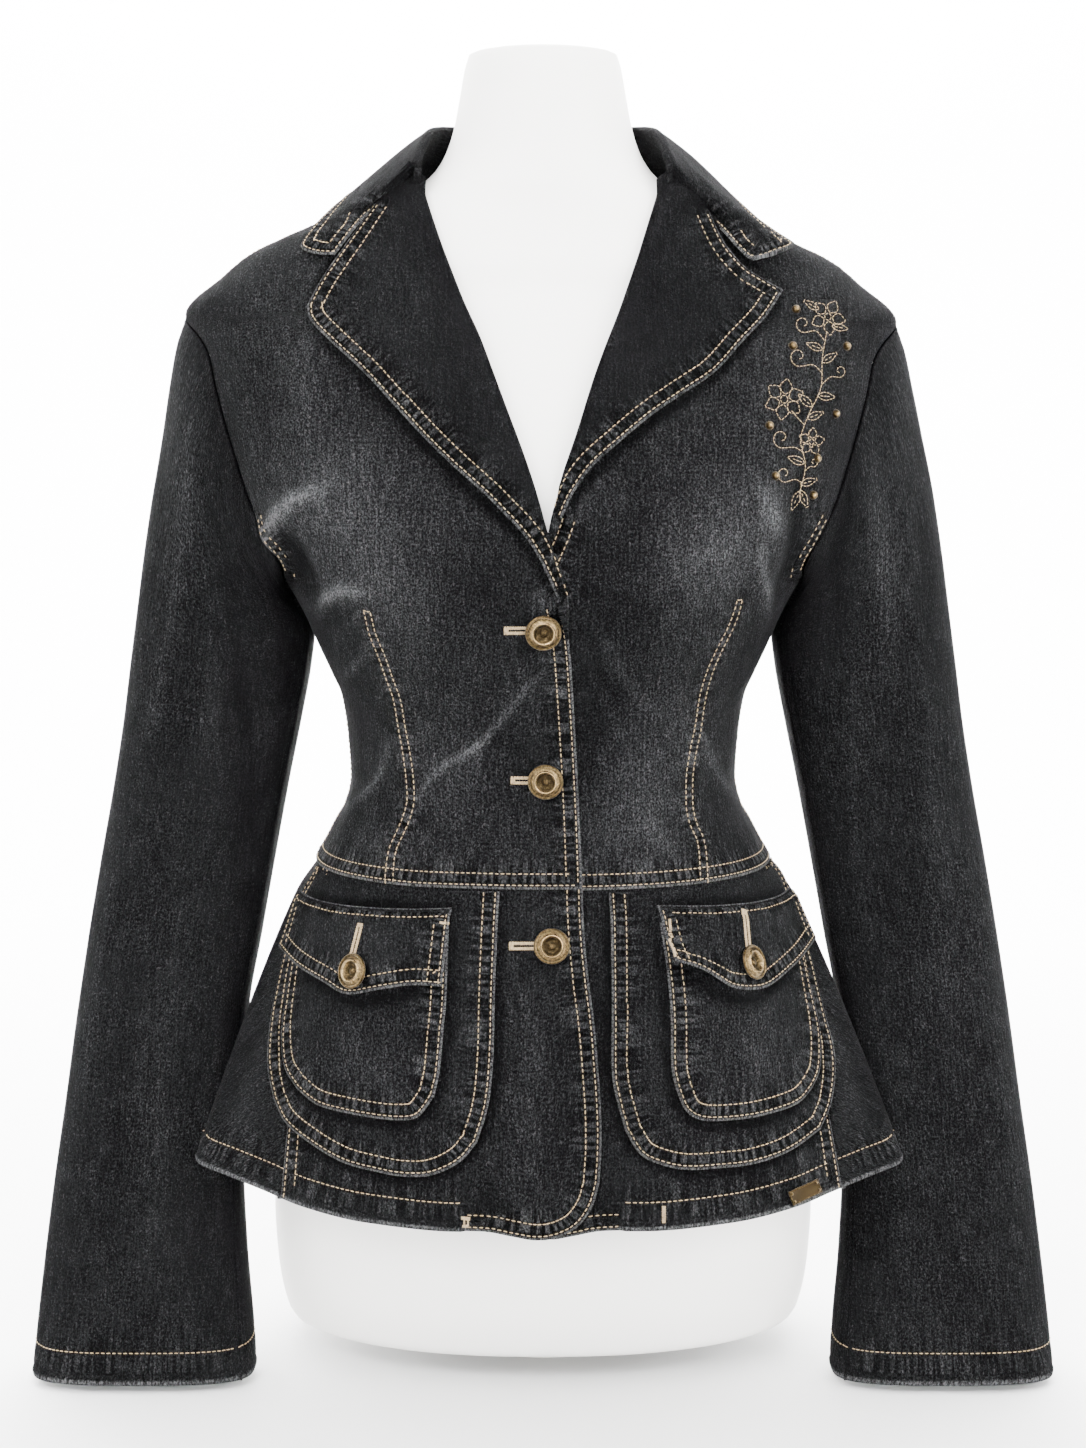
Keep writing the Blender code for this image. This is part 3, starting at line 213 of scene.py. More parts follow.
# The collar's left end is lifted at its tip and sags in its middle
LEFT_TIP = {"move": (0.0075, 0.0, 0.0065), "share": 0.11, "spread": 0.10}
LEFT_SAG = (0.0, -0.0015, -0.0070)
LEFT_SHOULDER = {"move": (-0.0022, 0.0, -0.0042), "x": (0.080, 0.140), "height": (0.500, 0.590)}

# Sleeve sections: outer x and z, inner x and z, middle y, half depth, squareness
SLEEVE = [
    (0.2035, 0.6033, 0.1480, 0.4530, 0.0010, 0.0500, 2.2),
    (0.2085, 0.5900, 0.1474, 0.4510, 0.0010, 0.0525, 2.2),
    (0.2135, 0.5650, 0.1458, 0.4480, 0.0015, 0.0540, 2.3),
    (0.2190, 0.5330, 0.1434, 0.4440, 0.0020, 0.0535, 2.4),
    (0.2255, 0.4980, 0.1400, 0.4385, 0.0030, 0.0515, 2.5),
    (0.2310, 0.4650, 0.1364, 0.4310, 0.0040, 0.0490, 2.6),
    (0.2350, 0.4380, 0.1338, 0.4200, 0.0050, 0.0470, 2.7),
    (0.2400, 0.4050, 0.1358, 0.4030, 0.0065, 0.0445, 2.8),
    (0.2455, 0.3690, 0.1422, 0.3700, 0.0085, 0.0420, 2.8),
    (0.2525, 0.3300, 0.1500, 0.3330, 0.0095, 0.0390, 2.8),
    (0.2610, 0.2850, 0.1585, 0.2880, 0.0070, 0.0360, 2.8),
    (0.2685, 0.2400, 0.1665, 0.2430, 0.0015, 0.0345, 2.8),
    (0.2745, 0.1950, 0.1740, 0.1980, -0.0085, 0.0335, 2.9),
    (0.2795, 0.1500, 0.1757, 0.1530, -0.0215, 0.0325, 2.9),
    (0.2842, 0.1080, 0.1752, 0.1100, -0.0355, 0.0310, 3.0),
    (0.2880, 0.0660, 0.1720, 0.0680, -0.0510, 0.0295, 3.0),
    (0.2908, 0.0280, 0.1672, 0.0280, -0.0655, 0.0285, 3.1),
    (0.2922, 0.0046, 0.1648, 0.0046, -0.0750, 0.0280, 3.1),
]
CAP_EASE = [1.0, 0.8, 0.5, 0.25, 0.08]
FRONT_SLEEVE_SEAM = 0.435
BACK_SLEEVE_SEAM = 0.680
SLEEVE_ROUND = 0.30      # length round its widest section
SLEEVE_LAP = np.array([0.012, 0.006, 0.0015])  # shares round it by which the under piece runs on
SLEEVE_WEAR = -0.05

# Pieces sewn on the peplum, as seen from the front: distance out, height
SEAM_ANGLE = {"right": 76.0, "left": 84.0}
RIGHT_PANEL = {
    "inner": [(0.0235, 0.2893), (0.0256, 0.2399), (0.0266, 0.2029), (0.0293, 0.1779), (0.0353, 0.1586)],
    "bottom": [(0.0353, 0.1586), (0.0444, 0.1483), (0.0595, 0.1408), (0.0748, 0.1391),
               (0.0903, 0.1405), (0.1090, 0.1435), (0.1268, 0.1501), (0.1420, 0.1580), (0.1492, 0.1680)],
    "outer": [(0.1492, 0.1680), (0.1525, 0.1803), (0.1530, 0.1965), (0.1520, 0.2132),
              (0.1480, 0.2350), (0.1400, 0.2640), (0.1325, 0.2880)],
}
LEFT_PANEL = {
    "inner": [(0.0363, 0.2893), (0.0371, 0.2395), (0.0370, 0.1983), (0.0389, 0.1836), (0.0442, 0.1644)],
    "bottom": [(0.0442, 0.1644), (0.0517, 0.1525), (0.0608, 0.1472), (0.0761, 0.1430),
               (0.0962, 0.1424), (0.1151, 0.1427), (0.1346, 0.1460), (0.1533, 0.1535)],
    "outer": [(0.1533, 0.1535), (0.1600, 0.1644), (0.1627, 0.1790), (0.1620, 0.1927),
              (0.1586, 0.2070), (0.1530, 0.2350), (0.1440, 0.2640), (0.1355, 0.2880)],
}
RIGHT_POCKET = {
    "inner": [(0.0500, 0.2720), (0.0515, 0.2336), (0.0530, 0.2177), (0.0551, 0.1954), (0.0581, 0.1821)],
    "bottom": [(0.0581, 0.1821), (0.0643, 0.1731), (0.0702, 0.1693), (0.0826, 0.1682),
               (0.1029, 0.1690), (0.1222, 0.1707), (0.1339, 0.1764)],
    "outer": [(0.1339, 0.1764), (0.1412, 0.1844), (0.1434, 0.1950), (0.1433, 0.2089),
              (0.1395, 0.2365), (0.1345, 0.2650)],
}
LEFT_POCKET = {
    "inner": [(0.0625, 0.2720), (0.0660, 0.2500), (0.0683, 0.2240), (0.0686, 0.1977), (0.0709, 0.1859)],
    "bottom": [(0.0709, 0.1859), (0.0762, 0.1739), (0.0854, 0.1681), (0.1010, 0.1666),
               (0.1202, 0.1668), (0.1384, 0.1690), (0.1472, 0.1745)],
    "outer": [(0.1472, 0.1745), (0.1525, 0.1830), (0.1530, 0.2007), (0.1500, 0.2179),
              (0.1450, 0.2420), (0.1390, 0.2650)],
}
RIGHT_FLAP = {
    "inner": [(0.0486, 0.2803), (0.0531, 0.2395)],
    "bottom": [(0.0531, 0.2395), (0.0691, 0.2392), (0.0870, 0.2350), (0.1037, 0.2305),
               (0.1160, 0.2345), (0.1310, 0.2385), (0.1440, 0.2430)],
    "outer": [(0.1440, 0.2430), (0.1365, 0.2740)],
}
LEFT_FLAP = {
    "inner": [(0.0614, 0.2812), (0.0670, 0.2515)],
    "bottom": [(0.0670, 0.2515), (0.0800, 0.2465), (0.0905, 0.2400), (0.0985, 0.2350),
               (0.1090, 0.2322), (0.1199, 0.2322), (0.1343, 0.2385), (0.1500, 0.2450)],
    "outer": [(0.1500, 0.2450), (0.1400, 0.2740)],
}
PANEL_LIFT = 0.0024
PANEL_TUCK = 0.0034
POCKET_LIFT = 0.0043
POCKET_FULLNESS = 0.0020
FLAP_LIFT = 0.0060
FLAP_SPRING = 0.0030
FLAP_SEWN_DOWN = 0.0022
FLAP_CURL = {"right": 0.0, "left": 0.0080}
PEPLUM_LAP = np.array([1.9, 1.2, 0.5])  # angles by which its back runs on under its fronts
PEPLUM_WEAR = -0.03

# The right front stands off the left one where they overlap, most at the waist seam
LAP_RISE = 0.0022
LAP_WAIST_RISE = 0.0024
LAP_WAIST = {"height": 0.296, "tall": 0.016}
LAP_FROM, LAP_TO = 0.075, 0.036

# Dress form: height, half width, front depth, back depth, squareness
FORM = [
    (0.0136, 0.1450, 0.0820, 0.0960, 2.2), (0.0165, 0.1505, 0.0890, 0.1030, 2.2),
    (0.0240, 0.1540, 0.0940, 0.1080, 2.2), (0.0500, 0.1585, 0.1060, 0.1170, 2.2),
    (0.0800, 0.1600, 0.1140, 0.1220, 2.2), (0.1100, 0.1570, 0.1150, 0.1220, 2.2),
    (0.1500, 0.1440, 0.1090, 0.1120, 2.2), (0.2000, 0.1290, 0.1020, 0.1000, 2.2),
    (0.2500, 0.1140, 0.0950, 0.0920, 2.2), (0.2925, 0.1060, 0.0900, 0.0850, 2.2),
    (0.3389, 0.1020, 0.0870, 0.0810, 2.3), (0.3874, 0.1085, 0.0960, 0.0880, 2.3),
    (0.4149, 0.1200, 0.1050, 0.0940, 2.3),
]
FORM_CLEARANCE = 0.0070
FORM_TOUCH = {"clearance": 0.0028, "from": 0.618, "full": 0.634}
FORM_NECK = [
    (0.6740, 0.0720, 0.0480, 0.0520, 2.2), (0.6840, 0.0610, 0.0465, 0.0505, 2.1),
    (0.6950, 0.0545, 0.0448, 0.0485, 2.0), (0.7080, 0.0503, 0.0435, 0.0470, 2.0),
    (0.7250, 0.0470, 0.0425, 0.0450, 2.0), (0.7410, 0.0440, 0.0415, 0.0430, 2.0),
    (0.7480, 0.0418, 0.0395, 0.0410, 2.0),
]
# Top of the form's neck: share of its last section, height
FORM_CROWN = [(0.93, 0.7493), (0.80, 0.7503), (0.55, 0.7510), (0.25, 0.7514)]

# Topstitching
THREAD = 0.00031         # radius
STITCH = 0.0021          # length that shows
STITCH_FLAT = 0.0009     # length of its raised middle
STITCH_DIP = 0.00034     # how far its ends go down
STITCH_PITCH = 0.0032
SATIN_PITCH = 0.00046
BOXED_STITCH, BOXED_PITCH = 0.0021, 0.0025
VINE_STITCH, VINE_PITCH, VINE_THICK = 0.0018, 0.0022, 0.62
ROWS = (0.0022, 0.0086)  # twin rows, in from an edge
STAND_OFF = 0.00010      # height of a stitch over its cloth
SATIN_STAND_OFF = 0.00022
TOO_FAR = 0.003          # a stitch that would land farther than this from its cloth is left out

# Grids: where points lie beside a turned edge and beside a line of stitches inside a piece,
# then the length and number of points across or along each piece
EDGE_STEPS = (0.0003, 0.0008, 0.0014, 0.0022, 0.0032, 0.0050, 0.0070, 0.0086, 0.0102)
LINE_STEPS = (0, 0.0012, 0.0025, 0.0038, 0.0055)
LINE_CLEAR = 0.0062
GRID = {
    "front across": (0.155, 52),
    "back across": (0.34, 96),
    "lapel across": (0.09, 30),
    "lapel along": (0.25, 92),
    "collar along": (0.20, 62),
    "collar fall": (0.05, 16),
    "sleeve along": (0.60, 178),
    "upper sleeve across": (0.215, 58),
    "under sleeve across": (0.07, 14),
    "peplum front across": (0.16, 62),
    "peplum front along": (0.19, 66),
    "peplum back across": (0.50, 150),
    "peplum back along": (0.19, 60),
    "panel across": (0.13, 46),
    "panel along": (0.15, 54),
    "pocket across": (0.09, 34),
    "pocket along": (0.11, 38),
    "flap across": (0.10, 40),
    "flap along": (0.045, 14),
}
SLEEVE_POINTS = 120      # round a sleeve's tube
FORM_POINTS = 96         # round the dress form


def smooth(rows, column, at):
    """Monotone cubic through one column of a table whose first column rises."""
    x = np.array([row[0] for row in rows], float)
    y = np.array([row[column] for row in rows], float)
    step = np.diff(x)
    slope = np.diff(y) / step
    tangent = np.zeros_like(y)
    tangent[0], tangent[-1] = slope[0], slope[-1]
    for i in range(1, len(x) - 1):
        if slope[i - 1] * slope[i] > 0:
            before = 2 * step[i] + step[i - 1]
            after = step[i] + 2 * step[i - 1]
            tangent[i] = (before + after) / (before / slope[i - 1] + after / slope[i])
    at = np.clip(np.asarray(at, float), x[0], x[-1])
    i = np.clip(np.searchsorted(x, at, side="right") - 1, 0, len(x) - 2)
    t = (at - x[i]) / step[i]
    return ((1 + 2 * t) * (1 - t) ** 2 * y[i] + t * (1 - t) ** 2 * step[i] * tangent[i]
            + t * t * (3 - 2 * t) * y[i + 1] + t * t * (t - 1) * step[i] * tangent[i + 1])


def ramp(low, high, value):
    """0 at low, 1 at high, eased between; low may be the larger one."""
    t = np.clip((np.asarray(value, float) - low) / (high - low), 0, 1)
    return t * t * (3 - 2 * t)


def unit(vectors):
    """Vectors scaled to a length of 1."""
    return vectors / np.maximum(np.linalg.norm(vectors, axis=-1, keepdims=True), 1e-12)


def oval(table, angle, height):
    """Point on a body whose level sections are squared ovals; 0 degrees is the front."""
    turn = np.radians(angle)
    side, front, back, power = (smooth(table, k, height) for k in (1, 2, 3, 4))
    ahead = np.cos(turn)
    depth = np.where(ahead > 0, front, back)
    reach = ((np.abs(np.sin(turn)) / side) ** power + (np.abs(ahead) / depth) ** power) ** (-1 / power)
    return reach * np.sin(turn), -reach * ahead


def bodice_point(angle, height):
    """Point on the outside of the bodice at an angle from the front and a height."""
    angle, height = np.broadcast_arrays(np.asarray(angle, float), np.asarray(height, float))
    # The shoulder is rounded off, except along its seam
    round_off = SHOULDER_ROUND["size"] * np.exp(-((height - SHOULDER) / SHOULDER_ROUND["tall"]) ** 2)
    round_off = round_off * ramp(0.999, 0.93, np.abs(np.sin(np.radians(angle))))
    rings = [oval(BODICE, angle, height + round_off * step) for step in (-1, -0.5, 0, 0.5, 1)]
    x, y = np.mean(rings, axis=0)
    swell = BUST["depth"] * np.exp(-((np.abs(x) - BUST["across"]) / BUST["wide"]) ** 2
                                   - ((height - BUST["height"]) / BUST["tall"]) ** 2)
    y = y - np.where(np.cos(np.radians(angle)) > 0, swell, 0)
    return np.stack([x, y, height], -1)


def peplum_point(angle, fall):
    """fall is 0 at the waist seam and 1 at the hem; below 0 it follows the bodice up."""
    angle, fall = np.broadcast_arrays(np.asarray(angle, float), np.asarray(fall, float))
    round_waist = np.abs(angle)
    rise = np.clip(-fall, 0, None) * HEM_DROP
    top = bodice_point(round_waist, WAIST + rise)
    hem_x, hem_y, hem_z = (smooth(HEM, k, round_waist) for k in (1, 2, 3))
    spread = np.clip(fall, 0, None) ** FLARE
    x = np.sign(angle) * (top[..., 0] * (1 - spread) + hem_x * spread) + HEM_SHIFT * spread
    y = top[..., 1] * (1 - spread) + hem_y * spread
    z = np.where(fall < 0, WAIST + rise, WAIST * (1 - fall) + hem_z * fall)
    return np.stack([x, y, z], -1)


def lifted(surface, u, v, lift):
    """Surface points moved out along the surface's normal."""
    u, v = np.broadcast_arrays(np.asarray(u, float), np.asarray(v, float))
    point = surface(u, v)
    du, dv = 0.2, 0.0015 if surface is bodice_point else 0.008
    across = surface(u + du, v) - surface(u - du, v)
    along = surface(u, v + dv) - surface(u, v - dv)
    normal = unit(np.cross(across, along))
    facing = np.sign(np.sum(normal * point * np.array([1, 1, 0]), -1, keepdims=True))
    return point + normal * facing * np.asarray(lift, float)[..., None]


def bodice_at(side, out, height):
    """Angle of the front point that shows at a distance out from the centre line."""
    half, front, power = (smooth(BODICE, k, height) for k in (1, 2, 4))
    share = np.clip(np.abs(out) / half, 0, 0.9999)
    depth = front * (1 - share ** power) ** (1 / power)
    return side * np.sign(out) * np.degrees(np.arctan2(np.abs(out), depth))


def peplum_at(side, out, height):
    """Waist angle and fall of the peplum point that shows at out, height from the front."""
    x = side * out
    sign = 1 if x >= 0 else -1
    angles = sign * np.linspace(0, 101, 203)
    fall = 0.5
    for _ in range(12):
        seen = sign * peplum_point(angles, fall)[:, 0]
        last = int(np.argmax(seen)) + 1
        angle = np.interp(abs(x), seen[:last], np.abs(angles[:last]))
        fall = (WAIST - height) / (WAIST - float(smooth(HEM, 3, angle)))
    return sign * float(angle), float(fall)


def lap(side, x, height):
    """Extra height of the right front over the left one."""
    x, height = np.asarray(x, float), np.asarray(height, float)
    if side > 0:
        return 0 * x
    waist = np.exp(-((height - LAP_WAIST["height"]) / LAP_WAIST["tall"]) ** 2)
    return (LAP_RISE + LAP_WAIST_RISE * waist) * ramp(LAP_FROM, LAP_TO, -x)


def on_bodice(side, out, height, lift):
    """Points over a front that show at out and height."""
    angle = bodice_at(side, out, height)
    return lifted(bodice_point, angle, height, lift + lap(side, side * np.asarray(out), height))


def on_peplum(side, grid, lift):
    """Points over the peplum at a grid of waist angles and falls."""
    angle, fall = grid[..., 0], grid[..., 1]
    point = peplum_point(angle, fall)
    return lifted(peplum_point, angle, fall, lift + lap(side, point[..., 0], point[..., 2]))


def hung(points):
    """Points moved as the left shoulder hangs."""
    x, z = points[..., 0], points[..., 2]
    share = ramp(*LEFT_SHOULDER["x"], x) * ramp(*LEFT_SHOULDER["height"], z)
    return points + share[..., None] * np.array(LEFT_SHOULDER["move"])


def run_along(line):
    """How far along a polyline each of its points is."""
    return np.concatenate([[0], np.cumsum(np.linalg.norm(np.diff(line, axis=0), axis=1))])


def respaced(line, shares, values=None):
    """Points of a polyline, or values that go with them, read at shares of its length."""
    run = run_along(line)
    values = line if values is None else values
    at = np.asarray(shares) * run[-1]
    return np.stack([np.interp(at, run, values[:, k]) for k in range(values.shape[1])], -1)


def flowing(points, shares):
    """Smooth curve through given points, read at shares of its length."""
    p = np.array(points, float)
    if len(p) == 2:
        return p[0] + (p[1] - p[0]) * np.asarray(shares)[:, None]
    ends = np.vstack([2 * p[0] - p[1], p, 2 * p[-1] - p[-2]])
    fine = []
    for a, b, c, d in zip(ends, ends[1:], ends[2:], ends[3:]):
        for t in np.linspace(0, 1, 12, endpoint=False):
            fine.append(0.5 * (2 * b + (c - a) * t + (2 * a - 5 * b + 4 * c - d) * t * t
                               + (3 * b - a - 3 * c + d) * t ** 3))
    return respaced(np.array(fine + [p[-1]]), shares)


def length_of(line):
    """Length of a polyline."""
    return float(np.linalg.norm(np.diff(line, axis=0), axis=1).sum())


def spaced(length, count, low=True, high=True):
    """Shares of a length, closer together near a turned edge."""
    near = [step / length for step in EDGE_STEPS if step < 0.3 * length]
    start = near[-1] if low else 0
    end = 1 - near[-1] if high else 1
    shares = list(np.linspace(start, end, count))
    if low:
        shares = [0] + near[:-1] + shares
    if high:
        shares = shares + [1 - share for share in near[:-1][::-1]] + [1]
    return np.array(shares)


def patch(bottom, top, left, right, us, vs):
    """Grid between four edges read at the shares us and vs; rows run from bottom to top."""
    u = us[None, :, None]
    v = vs[:, None, None]
    ruled = (1 - v) * bottom[None] + v * top[None] + (1 - u) * left[:, None] + u * right[:, None]
    corners = ((1 - u) * (1 - v) * bottom[0] + u * (1 - v) * bottom[-1]
               + (1 - u) * v * top[0] + u * v * top[-1])
    return ruled - corners


def outline_on_peplum(side, points, shares):
    """Smooth line through points seen from the front, as waist angle and fall."""
    fine = np.array([peplum_at(side, out, z) for out, z in flowing(points, np.linspace(0, 1, 60))])
    return respaced(peplum_point(fine[:, 0], fine[:, 1]), shares, fine)


# Seams: how the cloth stands along an edge or a row of stitches
#
# v is the distance from the seam, stretched so that the second row of every
# kind lies at 8.6 mm. rows are the true distances at which it is stitched.
KINDS = {
    "edge": {"start": 0.0, "stretch": 1.0, "pucker": 1.0, "round": 1.0, "rows": (0.0022, 0.0086)},
    "plain": {"start": 0.0, "stretch": 0.9, "pucker": 0.0, "round": 1.2, "rows": ()},
    "hem": {"start": 0.0, "stretch": 0.56, "pucker": 0.7, "round": 1.0, "rows": (0.0154,)},
    "cuff": {"start": 0.0, "stretch": 0.48, "pucker": 0.5, "round": 1.0, "rows": (0.0179,)},
    "dart": {"start": 0.0052, "stretch": 1.35, "pucker": 0.8, "round": 0.0, "rows": (0.0025, -0.0025)},
    "flap top": {"start": 0.0, "stretch": 1.7, "pucker": 1.0, "round": 1.0, "rows": (0.0050,)},
}


def nearest_on(points, line):
    """Distance of each point to a polyline, and how far along it the nearest place is."""
    a, b = line[:-1], line[1:]
    step = b - a
    size = np.maximum(np.sum(step * step, -1), 1e-12)
    run = np.concatenate([[0], np.cumsum(np.sqrt(size))])[:-1]
    distance = np.empty(len(points))
    along = np.empty(len(points))
    for start in range(0, len(points), 2000):
        p = points[start:start + 2000, None]
        t = np.clip(np.sum((p - a) * step, -1) / size, 0, 1)
        gap = np.linalg.norm(p - (a + t[..., None] * step), axis=-1)
        best = gap.argmin(1)
        row = np.arange(len(best))
        distance[start:start + 2000] = gap[row, best]
        along[start:start + 2000] = run[best] + t[row, best] * np.sqrt(size[best])
    return distance, along


def waver(run, phase):
    """Uneven wave along a seam, about 6 mm long, between -1 and 1."""
    turn = 2 * math.pi * run
    return (0.5 * np.sin(turn / 0.0062 + 1.6 * np.sin(turn / 0.041 + phase))
            + 0.3 * np.sin(turn / 0.0093 + 2.1 * phase) + 0.2 * np.sin(turn / 0.0047 + 0.7 * phase))


def seam_relief(v, run, pucker, rounding, phase):
    """Height of the cloth at v from a seam line: rolled edge, groove, puckers, groove."""
    edge = -0.0006 * rounding * np.clip(1 - v / 0.0008, 0, 1) ** 2
    ridge = 0.00030 * np.exp(-((v - 0.0012) / 0.0006) ** 2)
    groove = -0.00028 * (np.exp(-((v - ROWS[0]) / 0.0006) ** 2) + np.exp(-((v - ROWS[1]) / 0.0008) ** 2))
    between = ramp(0.0024, 0.0038, v) * ramp(0.0085, 0.0070, v)
    puffed = (0.00018 + 0.00030 * waver(run, phase)) * between
    outside = 0.00012 * waver(run, phase + 2) * ramp(0.0088, 0.0100, v) * ramp(0.0150, 0.0110, v)
    return edge + ridge + groove + (puffed + outside) * pucker


def mark_seams(points, seams):
    """Relief and seam coordinates of a piece's points from its nearest seam."""
    flat = points.reshape(-1, 3)
    v = np.full(len(flat), 0.05)
    run = np.zeros(len(flat))
    pucker = np.zeros(len(flat))
    relief = np.zeros(len(flat))
    for number, (kind, line) in enumerate(seams):
        how = KINDS[kind]
        distance, along = nearest_on(flat, line)
        here = how["start"] + distance * how["stretch"]
        closer = here < v
        height = seam_relief(here, along, how["pucker"], how["round"], 1.7 * number)
        relief = np.where(np.abs(height) > np.abs(relief), height, relief)
        v = np.where(closer, here, v)
        run = np.where(closer, along + 0.7 * number, run)
        pucker = np.where(closer, how["pucker"], pucker)
    shape = points.shape[:2]
    return relief.reshape(shape), v.reshape(shape), run.reshape(shape), pucker.reshape(shape)


def shown_from(normals, facing):
    """1 where the cloth faces the front (-1) or the back (1), falling to 0 at the sides."""
    return np.clip(normals[..., 1] * facing * 2.5, 0, 1)


def creased(points, normals, creases):
    """Height of creases and the lighter and darker cloth along them, ridges worn and with painted highlight,
    hollows with painted shade: x, z points, half width, height, lightening, facing.
    """
    height = np.zeros(points.shape[:-1])
    wear_and_shade = np.zeros(points.shape[:-1])
    seen = points[..., [0, 2]].reshape(-1, 2)
    for line, width, rise, fade_and_shade, facing in creases:
        fine = flowing(line, np.linspace(0, 1, 24))
        gap, along = nearest_on(seen, fine)
        gap = gap.reshape(height.shape)
        share = along.reshape(height.shape) / length_of(fine)
        taper = np.sin(np.pi * (0.10 + 0.80 * share)) ** 0.9 * shown_from(normals, facing)
        height += rise * np.exp(-(gap / width) ** 2) * taper
        wear_and_shade += fade_and_shade * np.exp(-(gap / (0.6 * width)) ** 2) * taper
    return height, wear_and_shade


def shadow_beside(side, line, inside, step=0.0020, width=0.0040, depth=-0.34):
    """Painted shadow on the cloth just outside the edge of a piece that lies on it: a crease with no height.
    """
    points = respaced(np.array(line) * [side, 1], np.linspace(0, 1, 18))
    ahead = unit(np.gradient(points, axis=0))
    away = np.stack([ahead[:, 1], -ahead[:, 0]], -1)
    if np.sum(away * (points - np.array(inside) * [side, 1])) < 0:
        away = -away
    return [tuple(point) for point in points + away * step], width, 0.0, depth, -1


def faded_and_shaded(points, normals, spots):
    """Wear of soft patches, and painted shade where the strength is below 0: x, z, half width, half height,
    tilt in degrees, strength, facing.
    """
    x, z = points[..., 0], points[..., 2]
    wear_and_shade = np.zeros(points.shape[:-1])
    for x0, z0, wide, tall, tilt, strength, facing in spots:
        turn = math.radians(tilt)
        u = (x - x0) * math.cos(turn) + (z - z0) * math.sin(turn)
        w = (z - z0) * math.cos(turn) - (x - x0) * math.sin(turn)
        wear_and_shade += strength * shown_from(normals, facing) * np.exp(-(u / wide) ** 2 - (w / tall) ** 2)
    return wear_and_shade


def grid_normals(grid):
    """Normal at each point of a grid."""
    across = np.gradient(grid, axis=1)
    along = np.gradient(grid, axis=0)
    return unit(np.cross(across, along))


def nothing_selected():
    """Object mode with an empty selection."""
    if bpy.context.object and bpy.context.object.mode != "OBJECT":
        bpy.ops.object.mode_set(mode="OBJECT")
    bpy.ops.object.select_all(action="DESELECT")


def grid_faces(rows, columns):
    """Corner numbers of a grid's quads."""
    return [(r * columns + c, r * columns + c + 1, (r + 1) * columns + c + 1, (r + 1) * columns + c)
            for r in range(rows - 1) for c in range(columns - 1)]


def sewn_piece(name, grid, thickness, seams, creases=(), spots=(), wear_and_shade=0.0, middle=None, plumb=None):
    """Cloth from a grid of its outside points, with its seams, creases and thickness.

    The grain hangs straight where x is plumb, or at the middle column, or throughout if level.
    """
    outward = grid * np.array([1, 1, 0]) if middle is None else grid - middle
    if np.sum(grid_normals(grid) * outward) < 0:
        grid = grid[:, ::-1]
    normal = grid_normals(grid)
    BASES[name] = skin_of(grid)
    relief, v, run, pucker = mark_seams(grid, seams)
    rise, crease_wear_and_shade = creased(grid, normal, creases)
    grid = grid + normal * (relief + rise)[..., None]
    # Worn cloth, and the painted highlight and shade of the creases, patches and laid-on edges
    fade_and_shade = wear_and_shade + crease_wear_and_shade + faded_and_shaded(grid, normal, spots)
    rows, columns = grid.shape[:2]

    nothing_selected()
    bpy.ops.mesh.primitive_grid_add(x_subdivisions=columns - 1, y_subdivisions=rows - 1, size=1)
    piece = bpy.context.object
    piece.name = f"{name}_cloth"
    mesh = piece.data
    mesh.name = piece.name
    mesh.vertices.foreach_set("co", grid.reshape(-1))
    for attribute, values in (("wear_and_shade", fade_and_shade), ("pucker", pucker)):
        mesh.attributes.new(attribute, "FLOAT", "POINT").data.foreach_set("value", values.reshape(-1))
    corner = np.empty(len(mesh.loops), np.int32)
    mesh.loops.foreach_get("vertex_index", corner)
    steps_across = np.linalg.norm(np.diff(grid, axis=1), axis=2)
    steps_along = np.median(np.linalg.norm(np.diff(grid, axis=0), axis=2), 1)
    across = np.concatenate([np.zeros((rows, 1)), np.cumsum(steps_across, 1)], 1)
    along = np.repeat(np.concatenate([[0], np.cumsum(steps_along)])[:, None], columns, 1)
    if plumb == "level":
        across, along = grid[..., 0], grid[..., 2]
        start = np.zeros(rows)
    elif plumb is None:
        start = across[:, columns // 2]
    else:
        row = np.arange(rows)
        nearest = np.abs(grid[..., 0] - plumb).argmin(1)
        turn = np.sign(grid[0, -1, 0] - grid[0, 0, 0])
        start = across[row, nearest] - grid[row, nearest, 0] * turn
    across = across - start[:, None]
    mesh.uv_layers[0].name = "cloth"
    mesh.uv_layers.new(name="seam")
    for layer, u, w in (("cloth", across, along), ("seam", run, v)):
        pairs = np.stack([u.reshape(-1)[corner], w.reshape(-1)[corner]], -1)
        mesh.uv_layers[layer].data.foreach_set("uv", pairs.reshape(-1))
    mesh.update()

    SKINS[name] = skin_of(grid)
    wall = piece.modifiers.new("cloth thickness", "SOLIDIFY")
    wall.thickness = thickness
    wall.offset = -1
    bpy.ops.object.modifier_apply(modifier=wall.name)
    bpy.ops.object.shade_smooth_by_angle(angle=math.radians(50))
    mesh.materials.append(MATERIALS["denim"])
    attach(piece, "root")
    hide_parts(name)
    stitch_seams(name, seams)
    return piece


def skin_of(grid):
    """Search tree over a grid's quads."""
    return BVHTree.FromPolygons(grid.reshape(-1, 3).tolist(), grid_faces(*grid.shape[:2]))


# Search trees of the pieces as they stand, and before their seams and creases
SKINS = {}
BASES = {}


# Stitches


